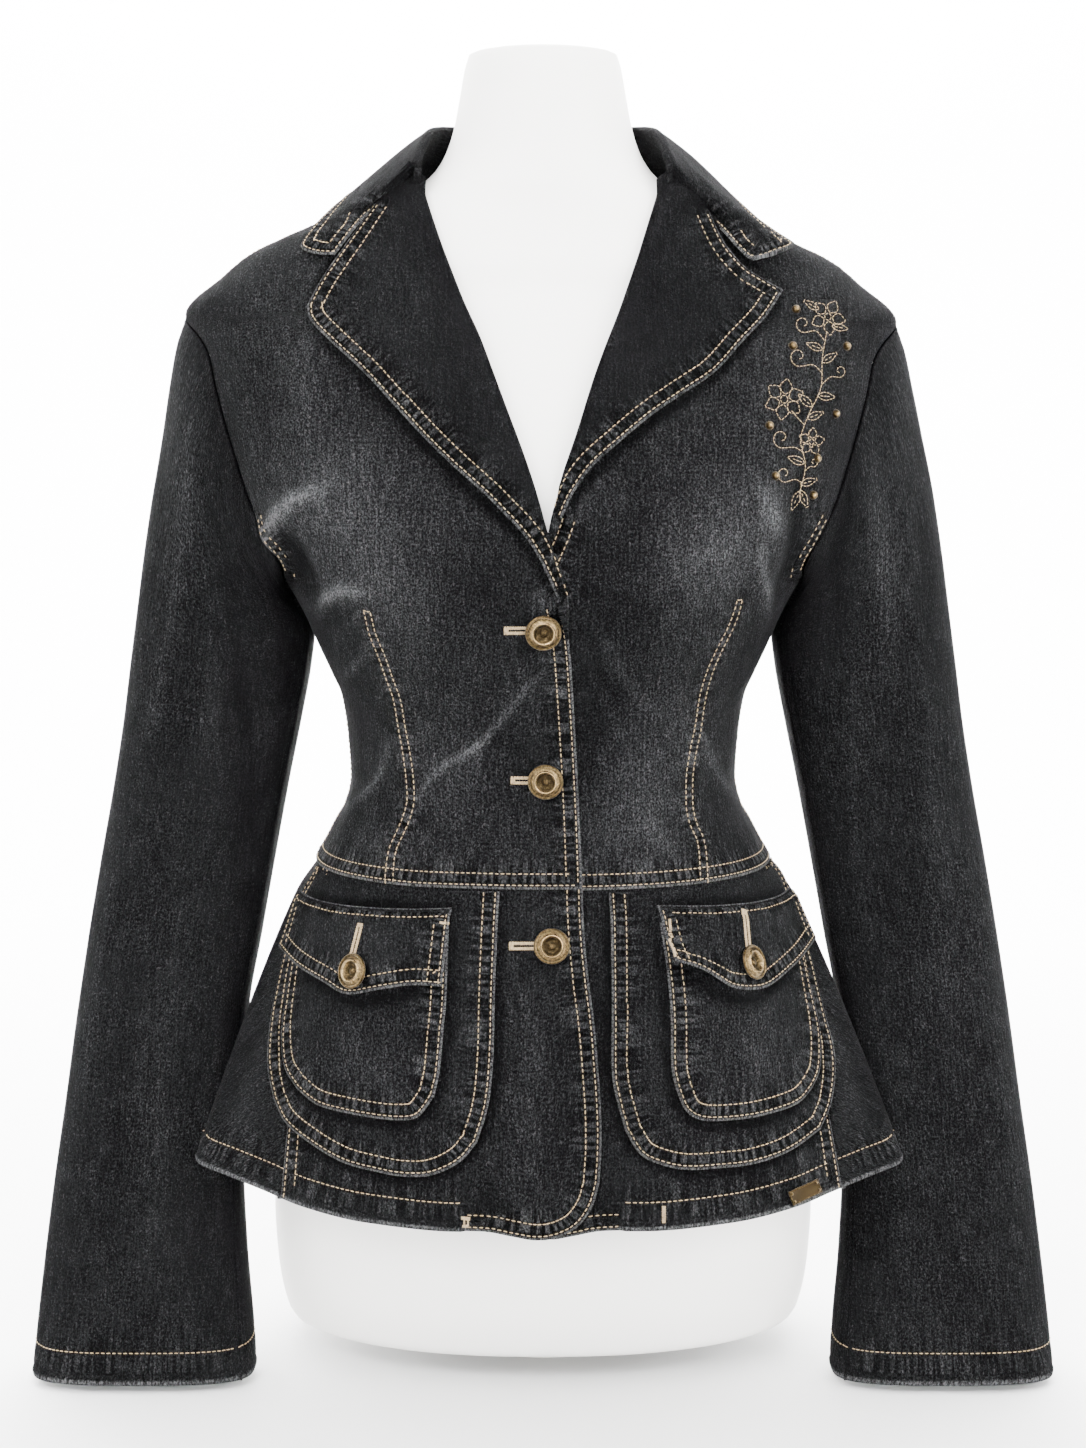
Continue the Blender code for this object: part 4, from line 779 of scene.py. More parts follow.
def model_stitch():
    """One stitch along X: a short round thread that dips into the cloth at both ends."""
    nothing_selected()
    bpy.ops.mesh.primitive_cylinder_add(vertices=5, radius=THREAD, depth=STITCH, location=(0, 0, 0),
                                        rotation=(0, math.pi / 2, 0))
    stitch = bpy.context.object
    stitch.name = "stitch"
    bpy.ops.object.transform_apply(location=False, rotation=True, scale=False)
    bpy.ops.object.mode_set(mode="EDIT")
    for cut in (-STITCH_FLAT / 2, STITCH_FLAT / 2):
        bpy.ops.mesh.select_all(action="SELECT")
        bpy.ops.mesh.bisect(plane_co=(cut, 0, 0), plane_no=(1, 0, 0))
    bpy.ops.object.mode_set(mode="OBJECT")
    for vert in stitch.data.vertices:
        if abs(vert.co.x) > 0.6 * STITCH_FLAT:
            vert.co.z -= STITCH_DIP
            vert.co.y *= 0.75
    bpy.ops.object.shade_smooth_by_angle(angle=math.radians(60))
    stitch.data.materials.append(MATERIALS["thread"])
    return stitch


def seated(skin, point, lift):
    """Place at a lift over the nearest one on a skin, its normal and the distance to it."""
    place, normal, _, distance = SKINS[skin].find_nearest(Vector(point))
    return place + normal * lift, normal, distance


def joined(name, copies):
    """Copies of one model joined into a piece that rides on the garment."""
    nothing_selected()
    for copy in copies:
        copy.select_set(True)
    bpy.context.view_layer.objects.active = copies[0]
    bpy.ops.object.join()
    piece = bpy.context.object
    piece.name = name
    piece.data.name = name
    bpy.ops.object.transform_apply(location=True, rotation=True, scale=True)
    return piece


def threads(name, places):
    """Stitches at given places: point, direction, normal, length, thickness."""
    copies = []
    for number, (point, along, normal, length, thick) in enumerate(places):
        along = Vector(along).normalized()
        up = Vector(normal)
        side = up.cross(along).normalized()
        up = along.cross(side)
        turn = Matrix((along, side, up)).transposed()
        turn = turn @ Matrix.Rotation(0.06 * math.sin(number * 2.399), 3, "Z")
        copy = bpy.data.objects.new(name, STITCH_MODEL.data.copy())
        bpy.context.scene.collection.objects.link(copy)
        size = Matrix.Diagonal((length / STITCH, thick, thick, 1))
        copy.matrix_world = Matrix.Translation(point) @ turn.to_4x4() @ size
        copies.append(copy)
    piece = joined(name, copies)
    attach(piece, "root")
    return piece


def row_places(skin, line, offset, others, pitch=STITCH_PITCH, length=STITCH, thick=1.0):
    """Places of the stitches along a line moved in over the cloth by an offset."""
    count = max(int(length_of(line) / pitch), 2)
    points = respaced(line, (np.arange(count) + 0.5) / count)
    ends = respaced(line, np.clip((np.arange(count) + 0.9) / count, 0, 1))
    starts = respaced(line, np.clip((np.arange(count) + 0.1) / count, 0, 1))
    along = unit(ends - starts)
    normals = np.array([BASES[skin].find_nearest(Vector(p))[1] for p in points])
    side = unit(np.cross(normals, along))
    if offset:
        # The row lies on the side where the cloth is
        off_cloth = [sum(BASES[skin].find_nearest(Vector(p + s * reach))[3] for p, s in zip(points, side))
                     for reach in (0.004, -0.004)]
        if off_cloth[1] < off_cloth[0] - 1e-6:
            side = -side
    moved = points + side * offset
    keep = np.ones(count, bool)
    for other in others:
        gap, _ = nearest_on(moved, other)
        keep &= gap > min(abs(offset), ROWS[1]) * 0.93
    places = []
    for number in np.flatnonzero(keep):
        place, normal, distance = seated(skin, moved[number], STAND_OFF)
        if distance > TOO_FAR:
            continue
        uneven = 1 + 0.06 * math.sin(number * 1.7 + 40 * offset / 0.0022)
        places.append((place, along[number], normal, length * uneven, thick))
    return places


def boxed_end(skin, line):
    """Short row that joins the twin rows at the top of a dart."""
    normal = np.array(BASES[skin].find_nearest(Vector(line[-1]))[1])
    across = unit(np.cross(normal, line[-1] - line[-5])) * KINDS["dart"]["rows"][0]
    ends = np.array([line[-1] - across, line[-1] + across])
    return row_places(skin, ends, 0, [], BOXED_PITCH, BOXED_STITCH)


def seen(skin, x, z):
    """Place on a skin that shows from the front at x and z, or the nearest one to it."""
    place = SKINS[skin].ray_cast(Vector((x, -1, z)), Vector((0, 1, 0)))[0]
    return place or SKINS[skin].find_nearest(Vector((x, -0.15, z)))[0]


def satin(skin, start, end, width, offset=0.0):
    """Close threads laid across a short line, as a buttonhole or a bartack has."""
    line = np.array([seen(skin, *start), seen(skin, *end)])
    count = max(int(length_of(line) / SATIN_PITCH), 3)
    ahead = unit(line[1] - line[0])
    places = []
    for number, point in enumerate(respaced(line, (np.arange(count) + 0.5) / count)):
        across = unit(np.cross(np.array(seated(skin, point, 0)[1]), ahead))
        uneven = math.sin(number * 2.4)
        place, normal, _ = seated(skin, point + across * offset, SATIN_STAND_OFF)
        places.append((place, across + ahead * 0.10 * uneven, normal, width * (1 + 0.07 * uneven), 0.9))
    return places


def on_edge(kind):
    """Whether a kind of seam lies on the edge of its piece."""
    return KINDS[kind]["round"] > 0


def stitch_seams(skin, seams):
    """All the rows of a piece; a row stops where it would run over another edge's rows."""
    places = []
    for number, (kind, line) in enumerate(seams):
        for offset in KINDS[kind]["rows"]:
            others = []
            for k, (other_kind, other) in enumerate(seams):
                crossing = on_edge(kind) and on_edge(other_kind)
                if k != number and crossing and KINDS[other_kind]["rows"]:
                    others.append(other)
            places += row_places(skin, line, offset, others)
        if kind == "dart":
            places += boxed_end(skin, line)
    if places:
        threads(f"{skin}_stitches", places)


# Materials


class Finish:
    """A material whose nodes are added by kind and joined as they are named."""

    def __init__(self, name):
        self.material = bpy.data.materials.new(name)
        self.material.use_nodes = True
        self.nodes = self.material.node_tree.nodes
        self.links = self.material.node_tree.links
        self.shader = self.nodes["Principled BSDF"]

    def put(self, socket, value):
        """Link a socket to another one, or set its value."""
        if isinstance(value, bpy.types.NodeSocket):
            self.links.new(value, socket)
        else:
            socket.default_value = value

    def add(self, kind, settings=None, **inputs):
        """New shader node with its settings and inputs."""
        node = self.nodes.new(f"ShaderNode{kind}")
        for key, value in (settings or {}).items():
            setattr(node, key, value)
        for key, value in inputs.items():
            self.put(node.inputs[key.replace("_", " ")], value)
        return node

    def math(self, operation, *values):
        """Output of a maths node."""
        node = self.nodes.new("ShaderNodeMath")
        node.operation = operation
        for socket, value in zip(node.inputs, values):
            self.put(socket, value)
        return node.outputs[0]

    def between(self, value, low, high, start=0.0, end=1.0):
        """Value eased from start at low to end at high."""
        if low > high:
            low, high, start, end = high, low, end, start
        node = self.add("MapRange", {"interpolation_type": "SMOOTHSTEP"}, Value=value,
                        From_Min=low, From_Max=high, To_Min=start, To_Max=end)
        return node.outputs[0]

    def grain(self, scale, **inputs):
        """Noise at a scale in the piece's own coordinates."""
        place = self.add("TexCoord").outputs["Object"]
        return self.add("TexNoise", Vector=place, Scale=scale, **inputs).outputs["Fac"]

    def surface(self, **values):
        """Set or link the shader's inputs."""
        for key, value in values.items():
            self.put(self.shader.inputs[key.replace("_", " ")], value)

    def colours(self, value, stops):
        """Colour read from a ramp at a value."""
        node = self.add("ValToRGB", Fac=value)
        ramp_stops = node.color_ramp.elements
        while len(ramp_stops) < len(stops):
            ramp_stops.new(0.5)
        for stop, (place, colour) in zip(ramp_stops, stops):
            stop.position = place
            stop.color = (*colour, 1)
        return node.outputs[0]

    def bumps(self, layers):
        """Layers of height, each with its distance in metres, one over another."""
        normal = None
        for height, distance in layers:
            node = self.add("Bump", Height=height, Strength=1.0, Distance=distance)
            if normal:
                self.put(node.inputs["Normal"], normal)
            normal = node.outputs[0]
        self.surface(Normal=normal)


def denim():
    """Black denim washed down to grey on its edges, ridges and slubs, with painted highlight on crease
    ridges and painted shade in hollows, beside laid-on edges and in darker patches.
    """
    f = Finish("denim cloth")
    cloth = f.add("SeparateXYZ", Vector=f.add("UVMap", {"uv_map": "cloth"}).outputs[0])
    seam = f.add("SeparateXYZ", Vector=f.add("UVMap", {"uv_map": "seam"}).outputs[0])
    # Worn cloth, with the painted highlight and shade of creases, patches and laid-on edges
    wear_and_shade = f.add("Attribute", {"attribute_name": "wear_and_shade"}).outputs["Fac"]
    pucker = f.add("Attribute", {"attribute_name": "pucker"}).outputs["Fac"]
    u, w = cloth.outputs[0], cloth.outputs[1]
    run, v = seam.outputs[0], seam.outputs[1]

    def noise(x, y, scale_x, scale_y, detail=2.0, roughness=0.55):
        place = f.add("CombineXYZ", X=f.math("MULTIPLY", x, scale_x), Y=f.math("MULTIPLY", y, scale_y))
        return f.add("TexNoise", {"noise_dimensions": "2D"}, Vector=place.outputs[0], Scale=1.0,
                     Detail=detail, Roughness=roughness).outputs["Fac"]

    slubs = noise(u, w, 620, 60)
    grain = noise(u, w, 950, 700, 2.0, 0.7)
    fibres = f.math("ABSOLUTE", f.math("SUBTRACT", noise(u, w, 460, 400, 1.5), 0.5))
    patches = noise(u, w, 150, 90, 1.0)
    flecks = noise(u, w, 520, 330, 1.0)
    blotches = noise(u, w, 34, 24, 3.0)
    ladder = noise(run, v, 340, 40, 1.0)
    nap = noise(run, v, 900, 500, 2.0)

    band = f.math("MULTIPLY", f.between(v, 0.0026, 0.0038), f.between(v, 0.0086, 0.0076))
    band = f.math("MULTIPLY", band, pucker)
    rim = f.math("MULTIPLY", f.between(v, 0.0018, 0.0008), f.between(nap, 0.30, 0.60, 0.30, 1.0))
    rim = f.math("MULTIPLY", rim, f.between(pucker, 0.0, 0.25))
    by_row = f.math("MULTIPLY", f.between(v, 0.0084, 0.0094), f.between(v, 0.0200, 0.0110))
    by_row = f.math("MULTIPLY", by_row, pucker)

    fade_and_shade = f.math("ADD", f.between(blotches, 0.34, 0.66, -0.02, 0.04), wear_and_shade)
    fade_and_shade = f.math("ADD", f.between(slubs, 0.36, 0.66, -0.05, 0.08), fade_and_shade)
    fade_and_shade = f.math("ADD", f.between(grain, 0.36, 0.66, -0.17, 0.22), fade_and_shade)
    fade_and_shade = f.math("ADD", f.between(flecks, 0.58, 0.70, 0.0, 0.13), fade_and_shade)
    curly = f.math("MULTIPLY", f.between(fibres, 0.075, 0.0), f.between(patches, 0.36, 0.62, 0.50, 1.0))
    fade_and_shade = f.math("MULTIPLY_ADD", curly, 0.25, fade_and_shade)
    fade_and_shade = f.math("ADD", fade_and_shade, 0.16)
    fade_and_shade = f.math("MULTIPLY_ADD", rim, 0.60, fade_and_shade)
    fade_and_shade = f.math("MULTIPLY_ADD", f.between(ladder, 0.43, 0.60, -0.19, 0.28), band, fade_and_shade)
    fade_and_shade = f.math("MULTIPLY_ADD", f.between(ladder, 0.44, 0.62, -0.11, 0.18), by_row, fade_and_shade)
    f.surface(Base_Color=f.colours(fade_and_shade, [
        (0.00, (0.0012, 0.0012, 0.0013)), (0.12, (0.0026, 0.0026, 0.0028)),
        (0.28, (0.0046, 0.0046, 0.0049)), (0.46, (0.0088, 0.0088, 0.0092)),
        (0.73, (0.0255, 0.0256, 0.0265)), (1.00, (0.0580, 0.0584, 0.0602))]))
    f.surface(Roughness=0.88, Specular_IOR_Level=0.012)
    f.surface(Sheen_Weight=0.003, Sheen_Roughness=0.5, Sheen_Tint=(0.84, 0.84, 0.86, 1))

    leaning = f.math("MULTIPLY", f.math("MULTIPLY_ADD", w, 0.55, u), 480)
    twill = f.add("TexWave", {"wave_type": "BANDS", "bands_direction": "X"}, Scale=1.0,
                  Vector=f.add("CombineXYZ", X=leaning).outputs[0])
    puckers = f.math("MULTIPLY", ladder, f.math("MULTIPLY_ADD", by_row, 0.5, band))
    f.bumps([
        (twill.outputs["Fac"], 0.00012),
        (f.math("ADD", slubs, grain), 0.0006),
        (puckers, 0.0026),
        (blotches, 0.0045),
    ])
    return f.material


def thread():
    """Tan cotton thread, twisted."""
    f = Finish("tan thread")
    colour = f.colours(f.grain(900), [(0.30, (0.140, 0.098, 0.049)), (0.70, (0.300, 0.222, 0.127))])
    f.surface(Base_Color=colour, Roughness=0.75, Specular_IOR_Level=0.3)
    return f.material


def brass():
    """Antiqued brass, rubbed on its raised parts and dark in its hollows."""
    f = Finish("antique brass")
    rub = f.add("Attribute", {"attribute_name": "rub"}).outputs["Fac"]
    noise = f.grain(900, Detail=4)
    rubbed = f.math("ADD", f.between(noise, 0.3, 0.7, -0.25, 0.25), rub)
    colour = f.colours(rubbed, [
        (0.05, (0.014, 0.0094, 0.0045)), (0.50, (0.064, 0.044, 0.020)), (1.00, (0.190, 0.133, 0.063))])
    f.surface(Base_Color=colour, Metallic=1.0, Roughness=f.between(rubbed, 0.0, 1.0, 0.46, 0.24))
    f.bumps([(noise, 0.00006)])
    return f.material


def form_skin():
    """Off-white matt skin of the dress form."""
    f = Finish("form skin")
    f.surface(Base_Color=(0.88, 0.866, 0.838, 1), Roughness=0.55)
    f.bumps([(f.grain(700), 0.00005)])
    return f.material


def backdrop():
    """Pale paper of the floor and backdrop."""
    f = Finish("pale backdrop")
    colour = f.colours(f.grain(3), [(0.3, (0.93, 0.93, 0.93)), (0.7, (0.94, 0.94, 0.94))])
    f.surface(Base_Color=colour, Roughness=0.9)
    return f.material


MATERIALS = {"denim": denim(), "thread": thread(), "brass": brass(), "form": form_skin()}
STITCH_MODEL = model_stitch()


# Fronts and back


def bodice_rows():
    """Heights from the waist edge to the neck."""
    low = BODICE_EDGE + np.array([0, *EDGE_STEPS])
    middle = np.linspace(low[-1] + 0.0024, NECK_FRONT, 142)
    return np.concatenate([low, middle, [0.6703, 0.6726, 0.6749, 0.6768, NECK_SIDE]])


def seam_side(heights, part):
    """Angle at which a front (1) or the back (2) ends: side seam, armhole, shoulder seam."""
    half_gap = np.where(heights < UNDERARM, SIDE_HALF_GAP, SHOULDER_HALF_GAP)
    gap = np.degrees(half_gap / smooth(BODICE, 1, heights))
    ends = 90.0 - gap if part == 1 else 90.0 + gap
    sleeve = (heights > UNDERARM) & (heights < SHOULDER)
    ends[sleeve] = smooth(ARMHOLE, part, heights[sleeve])
    return ends


def with_lines(length, count, lines):
    """Shares across a piece, closer at its turned ends and along lines of stitches."""
    shares = list(spaced(length, count))
    near = LINE_CLEAR / length
    for line in lines:
        shares = [share for share in shares if abs(share - line) > near]
        for step in LINE_STEPS:
            shares += [line - step / length, line + step / length]
    return np.array(sorted(set(shares)))


def bodice_front(name, side, edge, dart, seam_to, creases, spots):
    """Front from its edge to the armhole; the edge is stitched up to the height seam_to."""
    heights = bodice_rows()
    inner = np.empty_like(heights)
    for i, z in enumerate(heights):
        if z <= NECK_FRONT:
            inner[i] = bodice_at(1, smooth(edge, 1, z), z) + 0.05
        else:
            start = bodice_at(1, edge[-1][1], NECK_FRONT)
            inner[i] = start + (NECK_ANGLE - start) * ramp(NECK_FRONT, NECK_SIDE, z) ** 0.8
    outer = seam_side(heights, 1)
    # The dart's line splits the front into two widths
    middle = bodice_at(1, smooth(dart, 1, heights), heights)
    middle = np.where(heights > dart[-1][0], inner + (outer - inner) * 0.62, middle)
    blend = ramp(dart[-1][0], dart[-1][0] + 0.06, heights)
    at_top = bodice_at(1, dart[-1][1], heights)
    middle = np.where(heights > dart[-1][0], at_top * (1 - blend) + middle * blend, middle)
    share = with_lines(*GRID["front across"], [DART_SHARE])[None]
    low = np.clip(share / DART_SHARE, 0, 1)
    high = np.clip((share - DART_SHARE) / (1 - DART_SHARE), 0, 1)
    angle = inner[:, None] * (1 - low) + middle[:, None] * low + (outer - middle)[:, None] * high
    z = np.repeat(heights[:, None], share.shape[1], 1)
    x = bodice_point(side * angle, z)[..., 0]
    grid = hung(lifted(bodice_point, side * angle, z, lap(side, x, z)))
    stop, arm, row_from, row_to, shoulder = np.searchsorted(
        heights, [seam_to, UNDERARM, ARMHOLE_ROWS["from"], ARMHOLE_ROWS["front to"], SHOULDER])
    column = int(np.argmin(np.abs(share[0] - DART_SHARE)))
    dart_rows = (heights >= BODICE_EDGE) & (heights <= dart[-1][0])
    seams = [
        ("edge", grid[0]),
        ("edge", grid[:stop, 0]),
        ("edge", grid[:arm, -1]),
        ("plain", grid[arm:row_from, -1]),
        ("edge", grid[row_from:row_to, -1]),
        ("plain", grid[row_to:shoulder, -1]),
        ("edge", grid[shoulder:, -1]),
        ("dart", grid[dart_rows, column]),
    ]
    return sewn_piece(name, grid, DENIM, seams, creases, spots, plumb=side * 0.07)


def bodice_back(creases, spots):
    """Back from one side seam to the other, with two darts."""
    heights = bodice_rows()
    outer = seam_side(heights, 2)
    share = with_lines(*GRID["back across"], BACK_DARTS)[None]
    angle = outer[:, None] * (1 - share) + (360 - outer[:, None]) * share
    z = np.repeat(heights[:, None], share.shape[1], 1)
    grid = hung(lifted(bodice_point, angle, z, 0 * z))
    arm, row_to, shoulder = np.searchsorted(heights, [UNDERARM, ARMHOLE_ROWS["back to"], SHOULDER])
    darts = heights <= BACK_DART_TOP
    seams = [("edge", grid[0])]
    for column in (0, -1):
        seams.append(("plain", grid[:arm, column]))
        seams.append(("edge", grid[arm:row_to, column]))
        seams.append(("plain", grid[row_to:shoulder, column]))
        seams.append(("plain", grid[shoulder:, column]))
    for place in BACK_DARTS:
        column = int(np.argmin(np.abs(share[0] - place)))
        seams.append(("dart", grid[darts, column]))
    return sewn_piece("back", grid, DENIM, seams, creases, spots)


# Heights between which an armhole shows its rows of stitches
ARMHOLE_ROWS = {"from": 0.4585, "front to": 0.490, "back to": 0.480}
# Darts: share of the way across a front, shares across the back, top of the back's
DART_SHARE = 0.6
BACK_DARTS = (0.30, 0.70)
BACK_DART_TOP = 0.470
# Front darts: height, distance out
RIGHT_DART = [
    (0.2800, 0.0852), (0.2995, 0.0849), (0.3078, 0.0836), (0.3165, 0.0798), (0.3266, 0.0754),
    (0.3355, 0.0734), (0.3471, 0.0740), (0.3614, 0.0757), (0.3758, 0.0780), (0.3918, 0.0802),
    (0.4050, 0.0842), (0.4183, 0.0881), (0.4312, 0.0927), (0.4441, 0.0954),
]
LEFT_DART = [
    (0.2800, 0.0895), (0.3036, 0.0890), (0.3120, 0.0879), (0.3222, 0.0835), (0.3321, 0.0817),
    (0.3449, 0.0816), (0.3605, 0.0833), (0.3776, 0.0863), (0.3937, 0.0882), (0.4097, 0.0921),
    (0.4215, 0.0968), (0.4342, 0.1027), (0.4482, 0.1073),
]

# Creases: x and z along each, half width, height, wear, seen from the front (-1) or back (1); the wear
# lightens a ridge as worn cloth and painted highlight and darkens a hollow as painted shade
RIGHT_CREASES = [
    ([(-0.1540, 0.4600), (-0.1527, 0.4772), (-0.1477, 0.4881), (-0.1405, 0.4973), (-0.1322, 0.5028),
      (-0.1186, 0.5082)], 0.0075, 0.0046, 0.52, -1),
    ([(-0.1440, 0.4840), (-0.1390, 0.4740), (-0.1348, 0.4640), (-0.1264, 0.4471)],
     0.0090, -0.0058, -0.34, -1),
    ([(-0.1243, 0.4405), (-0.1193, 0.4471), (-0.1082, 0.4537), (-0.0973, 0.4526)],
     0.0065, 0.0030, 0.48, -1),
    ([(-0.1200, 0.4330), (-0.1100, 0.4400), (-0.1010, 0.4400)], 0.0060, -0.0018, -0.12, -1),
    ([(-0.1140, 0.3980), (-0.0955, 0.4199)], 0.0055, 0.0018, 0.26, -1),
    ([(-0.0850, 0.3700), (-0.0899, 0.3497), (-0.1012, 0.3338), (-0.1170, 0.3185)],
     0.0036, 0.0013, 0.36, -1),
    ([(0.0049, 0.4163), (-0.0125, 0.3972), (-0.0342, 0.3699), (-0.0506, 0.3589), (-0.0643, 0.3451),
      (-0.0740, 0.3240)], 0.0038, 0.0013, 0.36, -1),
    ([(-0.0300, 0.3900), (-0.0460, 0.3720), (-0.0600, 0.3640)], 0.0080, -0.0010, -0.06, -1),
    ([(-0.0300, 0.4300), (-0.0420, 0.4050), (-0.0540, 0.3880)], 0.0090, 0.0010, 0.05, -1),
    ([(-0.1300, 0.6300), (-0.1290, 0.5700), (-0.1240, 0.5300)], 0.0100, 0.0014, 0.06, -1),
    ([(-0.1500, 0.6200), (-0.1560, 0.5700), (-0.1520, 0.5200)], 0.0080, -0.0012, -0.04, -1),
]
LEFT_CREASES = [
    ([(0.1170, 0.5120), (0.1215, 0.4960), (0.1262, 0.4802)], 0.0120, 0.0032, 0.34, -1),
    ([(0.1160, 0.4800), (0.1180, 0.4640), (0.1225, 0.4490), (0.1243, 0.4340)],
     0.0050, 0.0028, 0.34, -1),
    ([(0.1405, 0.5150), (0.1400, 0.4900), (0.1385, 0.4680), (0.1320, 0.4440)],
     0.0080, -0.0046, -0.22, -1),
    ([(0.1075, 0.4560), (0.1120, 0.4440)], 0.0050, -0.0014, -0.08, -1),
    ([(0.0880, 0.3720), (0.0981, 0.3467), (0.1130, 0.3255)], 0.0036, 0.0013, 0.28, -1),
    ([(0.0334, 0.4276), (0.0404, 0.4141), (0.0524, 0.3951), (0.0640, 0.3850)],
     0.0046, 0.0012, 0.20, -1),
    ([(0.0300, 0.4200), (0.0360, 0.4040), (0.0460, 0.3860)], 0.0070, -0.0012, -0.07, -1),
    ([(0.0560, 0.4640), (0.0800, 0.4740), (0.1040, 0.4700)], 0.0120, 0.0012, 0.05, -1),
    ([(0.1180, 0.6000), (0.1150, 0.5600), (0.1130, 0.5300)], 0.0090, 0.0012, 0.05, -1),
    ([(0.0560, 0.3300), (0.0620, 0.3150), (0.0740, 0.3060)], 0.0070, 0.0010, 0.10, -1),
]
BACK_CREASES = [
    ([(-0.1350, 0.5000), (-0.1150, 0.4880), (-0.0900, 0.4830)], 0.0095, 0.0026, 0.20, 1),
    ([(-0.1370, 0.4760), (-0.1180, 0.4640), (-0.0980, 0.4600)], 0.0080, -0.0024, -0.12, 1),
    ([(-0.1220, 0.4420), (-0.1050, 0.4380), (-0.0860, 0.4420)], 0.0070, 0.0020, 0.18, 1),
    ([(0.1360, 0.4950), (0.1170, 0.4860), (0.0950, 0.4840)], 0.0090, 0.0028, 0.20, 1),
    ([(0.1330, 0.4700), (0.1160, 0.4620), (0.1000, 0.4610)], 0.0080, -0.0022, -0.12, 1),
    ([(0.1180, 0.4380), (0.1020, 0.4300), (0.0820, 0.4290)], 0.0070, 0.0018, 0.16, 1),
    ([(-0.0700, 0.3400), (-0.0300, 0.3310), (0.0200, 0.3330), (0.0600, 0.3420)],
     0.0065, 0.0017, 0.18, 1),
    ([(-0.0620, 0.3230), (-0.0150, 0.3170), (0.0500, 0.3240)], 0.0055, -0.0012, -0.08, 1),
    ([(-0.0800, 0.3700), (-0.0450, 0.3620), (-0.0150, 0.3640)], 0.0060, 0.0014, 0.14, 1),
    ([(0.0850, 0.3780), (0.0520, 0.3660), (0.0250, 0.3650)], 0.0060, 0.0014, 0.14, 1),
    ([(0.0100, 0.6400), (0.0060, 0.5800), (0.0120, 0.5200)], 0.0120, 0.0014, 0.05, 1),
    ([(-0.0900, 0.6300), (-0.1000, 0.5800), (-0.1080, 0.5400)], 0.0110, 0.0016, 0.08, 1),
    ([(0.0960, 0.6300), (0.1040, 0.5850), (0.1100, 0.5400)], 0.0110, 0.0015, 0.08, 1),
]
# Faded patches, and painted shade where the strength is below 0: x, z, half width, half height, tilt in
# degrees, strength, facing
RIGHT_SPOTS = [
    (-0.1080, 0.4950, 0.036, 0.050, 20, 0.24, -1),
    (-0.1150, 0.4000, 0.016, 0.045, 0, -0.10, -1),
    (-0.0800, 0.4500, 0.030, 0.030, 0, 0.08, -1),
    (-0.0500, 0.3650, 0.035, 0.030, 35, 0.13, -1),
    (-0.0800, 0.4250, 0.040, 0.030, 0, 0.07, -1),
    (-0.0900, 0.3060, 0.030, 0.009, 8, 0.16, -1),
    (-0.0250, 0.4450, 0.022, 0.022, 0, -0.09, -1),
    (-0.0150, 0.3650, 0.016, 0.020, 0, -0.10, -1),
    (-0.0850, 0.5500, 0.050, 0.016, -40, -0.06, -1),
    (-0.1200, 0.6000, 0.050, 0.050, 0, 0.08, -1),
]
LEFT_SPOTS = [
    (0.0950, 0.4750, 0.036, 0.045, -15, 0.21, -1),
    (0.1180, 0.3900, 0.014, 0.045, 0, -0.10, -1),
    (0.0500, 0.3300, 0.030, 0.030, 0, 0.19, -1),
    (0.0750, 0.3800, 0.024, 0.024, 0, 0.15, -1),
    (0.0240, 0.3700, 0.012, 0.050, 0, -0.10, -1),
    (0.0400, 0.4500, 0.030, 0.020, 0, -0.08, -1),
    (0.0600, 0.5000, 0.050, 0.014, 40, -0.07, -1),
    (0.1250, 0.6000, 0.050, 0.050, 0, 0.05, -1),
]
BACK_SPOTS = [
    (-0.0950, 0.5600, 0.035, 0.045, 0, 0.10, 1),
    (0.0980, 0.5500, 0.035, 0.045, 0, 0.10, 1),
    (0.0000, 0.3250, 0.060, 0.018, 0, 0.10, 1),
    (0.0000, 0.6100, 0.070, 0.018, 0, 0.08, 1),
]

# A place inside the lapels; the cloth beside their edges gets a painted shadow
LAPEL_INSIDE = (0.0500, 0.6200)
for side, outline, creases in ((-1, RIGHT_LAPEL, RIGHT_CREASES), (1, LEFT_LAPEL, LEFT_CREASES)):
    creases.append(shadow_beside(side, outline["outer"], LAPEL_INSIDE))
    creases.append(shadow_beside(side, outline["top"][2:], LAPEL_INSIDE))
bodice_front("front_right", -1, RIGHT_EDGE, RIGHT_DART, 0.4500, RIGHT_CREASES, RIGHT_SPOTS)
bodice_front("front_left", 1, LEFT_EDGE, LEFT_DART, 0.4960, LEFT_CREASES, LEFT_SPOTS)
bodice_back(BACK_CREASES, BACK_SPOTS)


# Lapels and collar


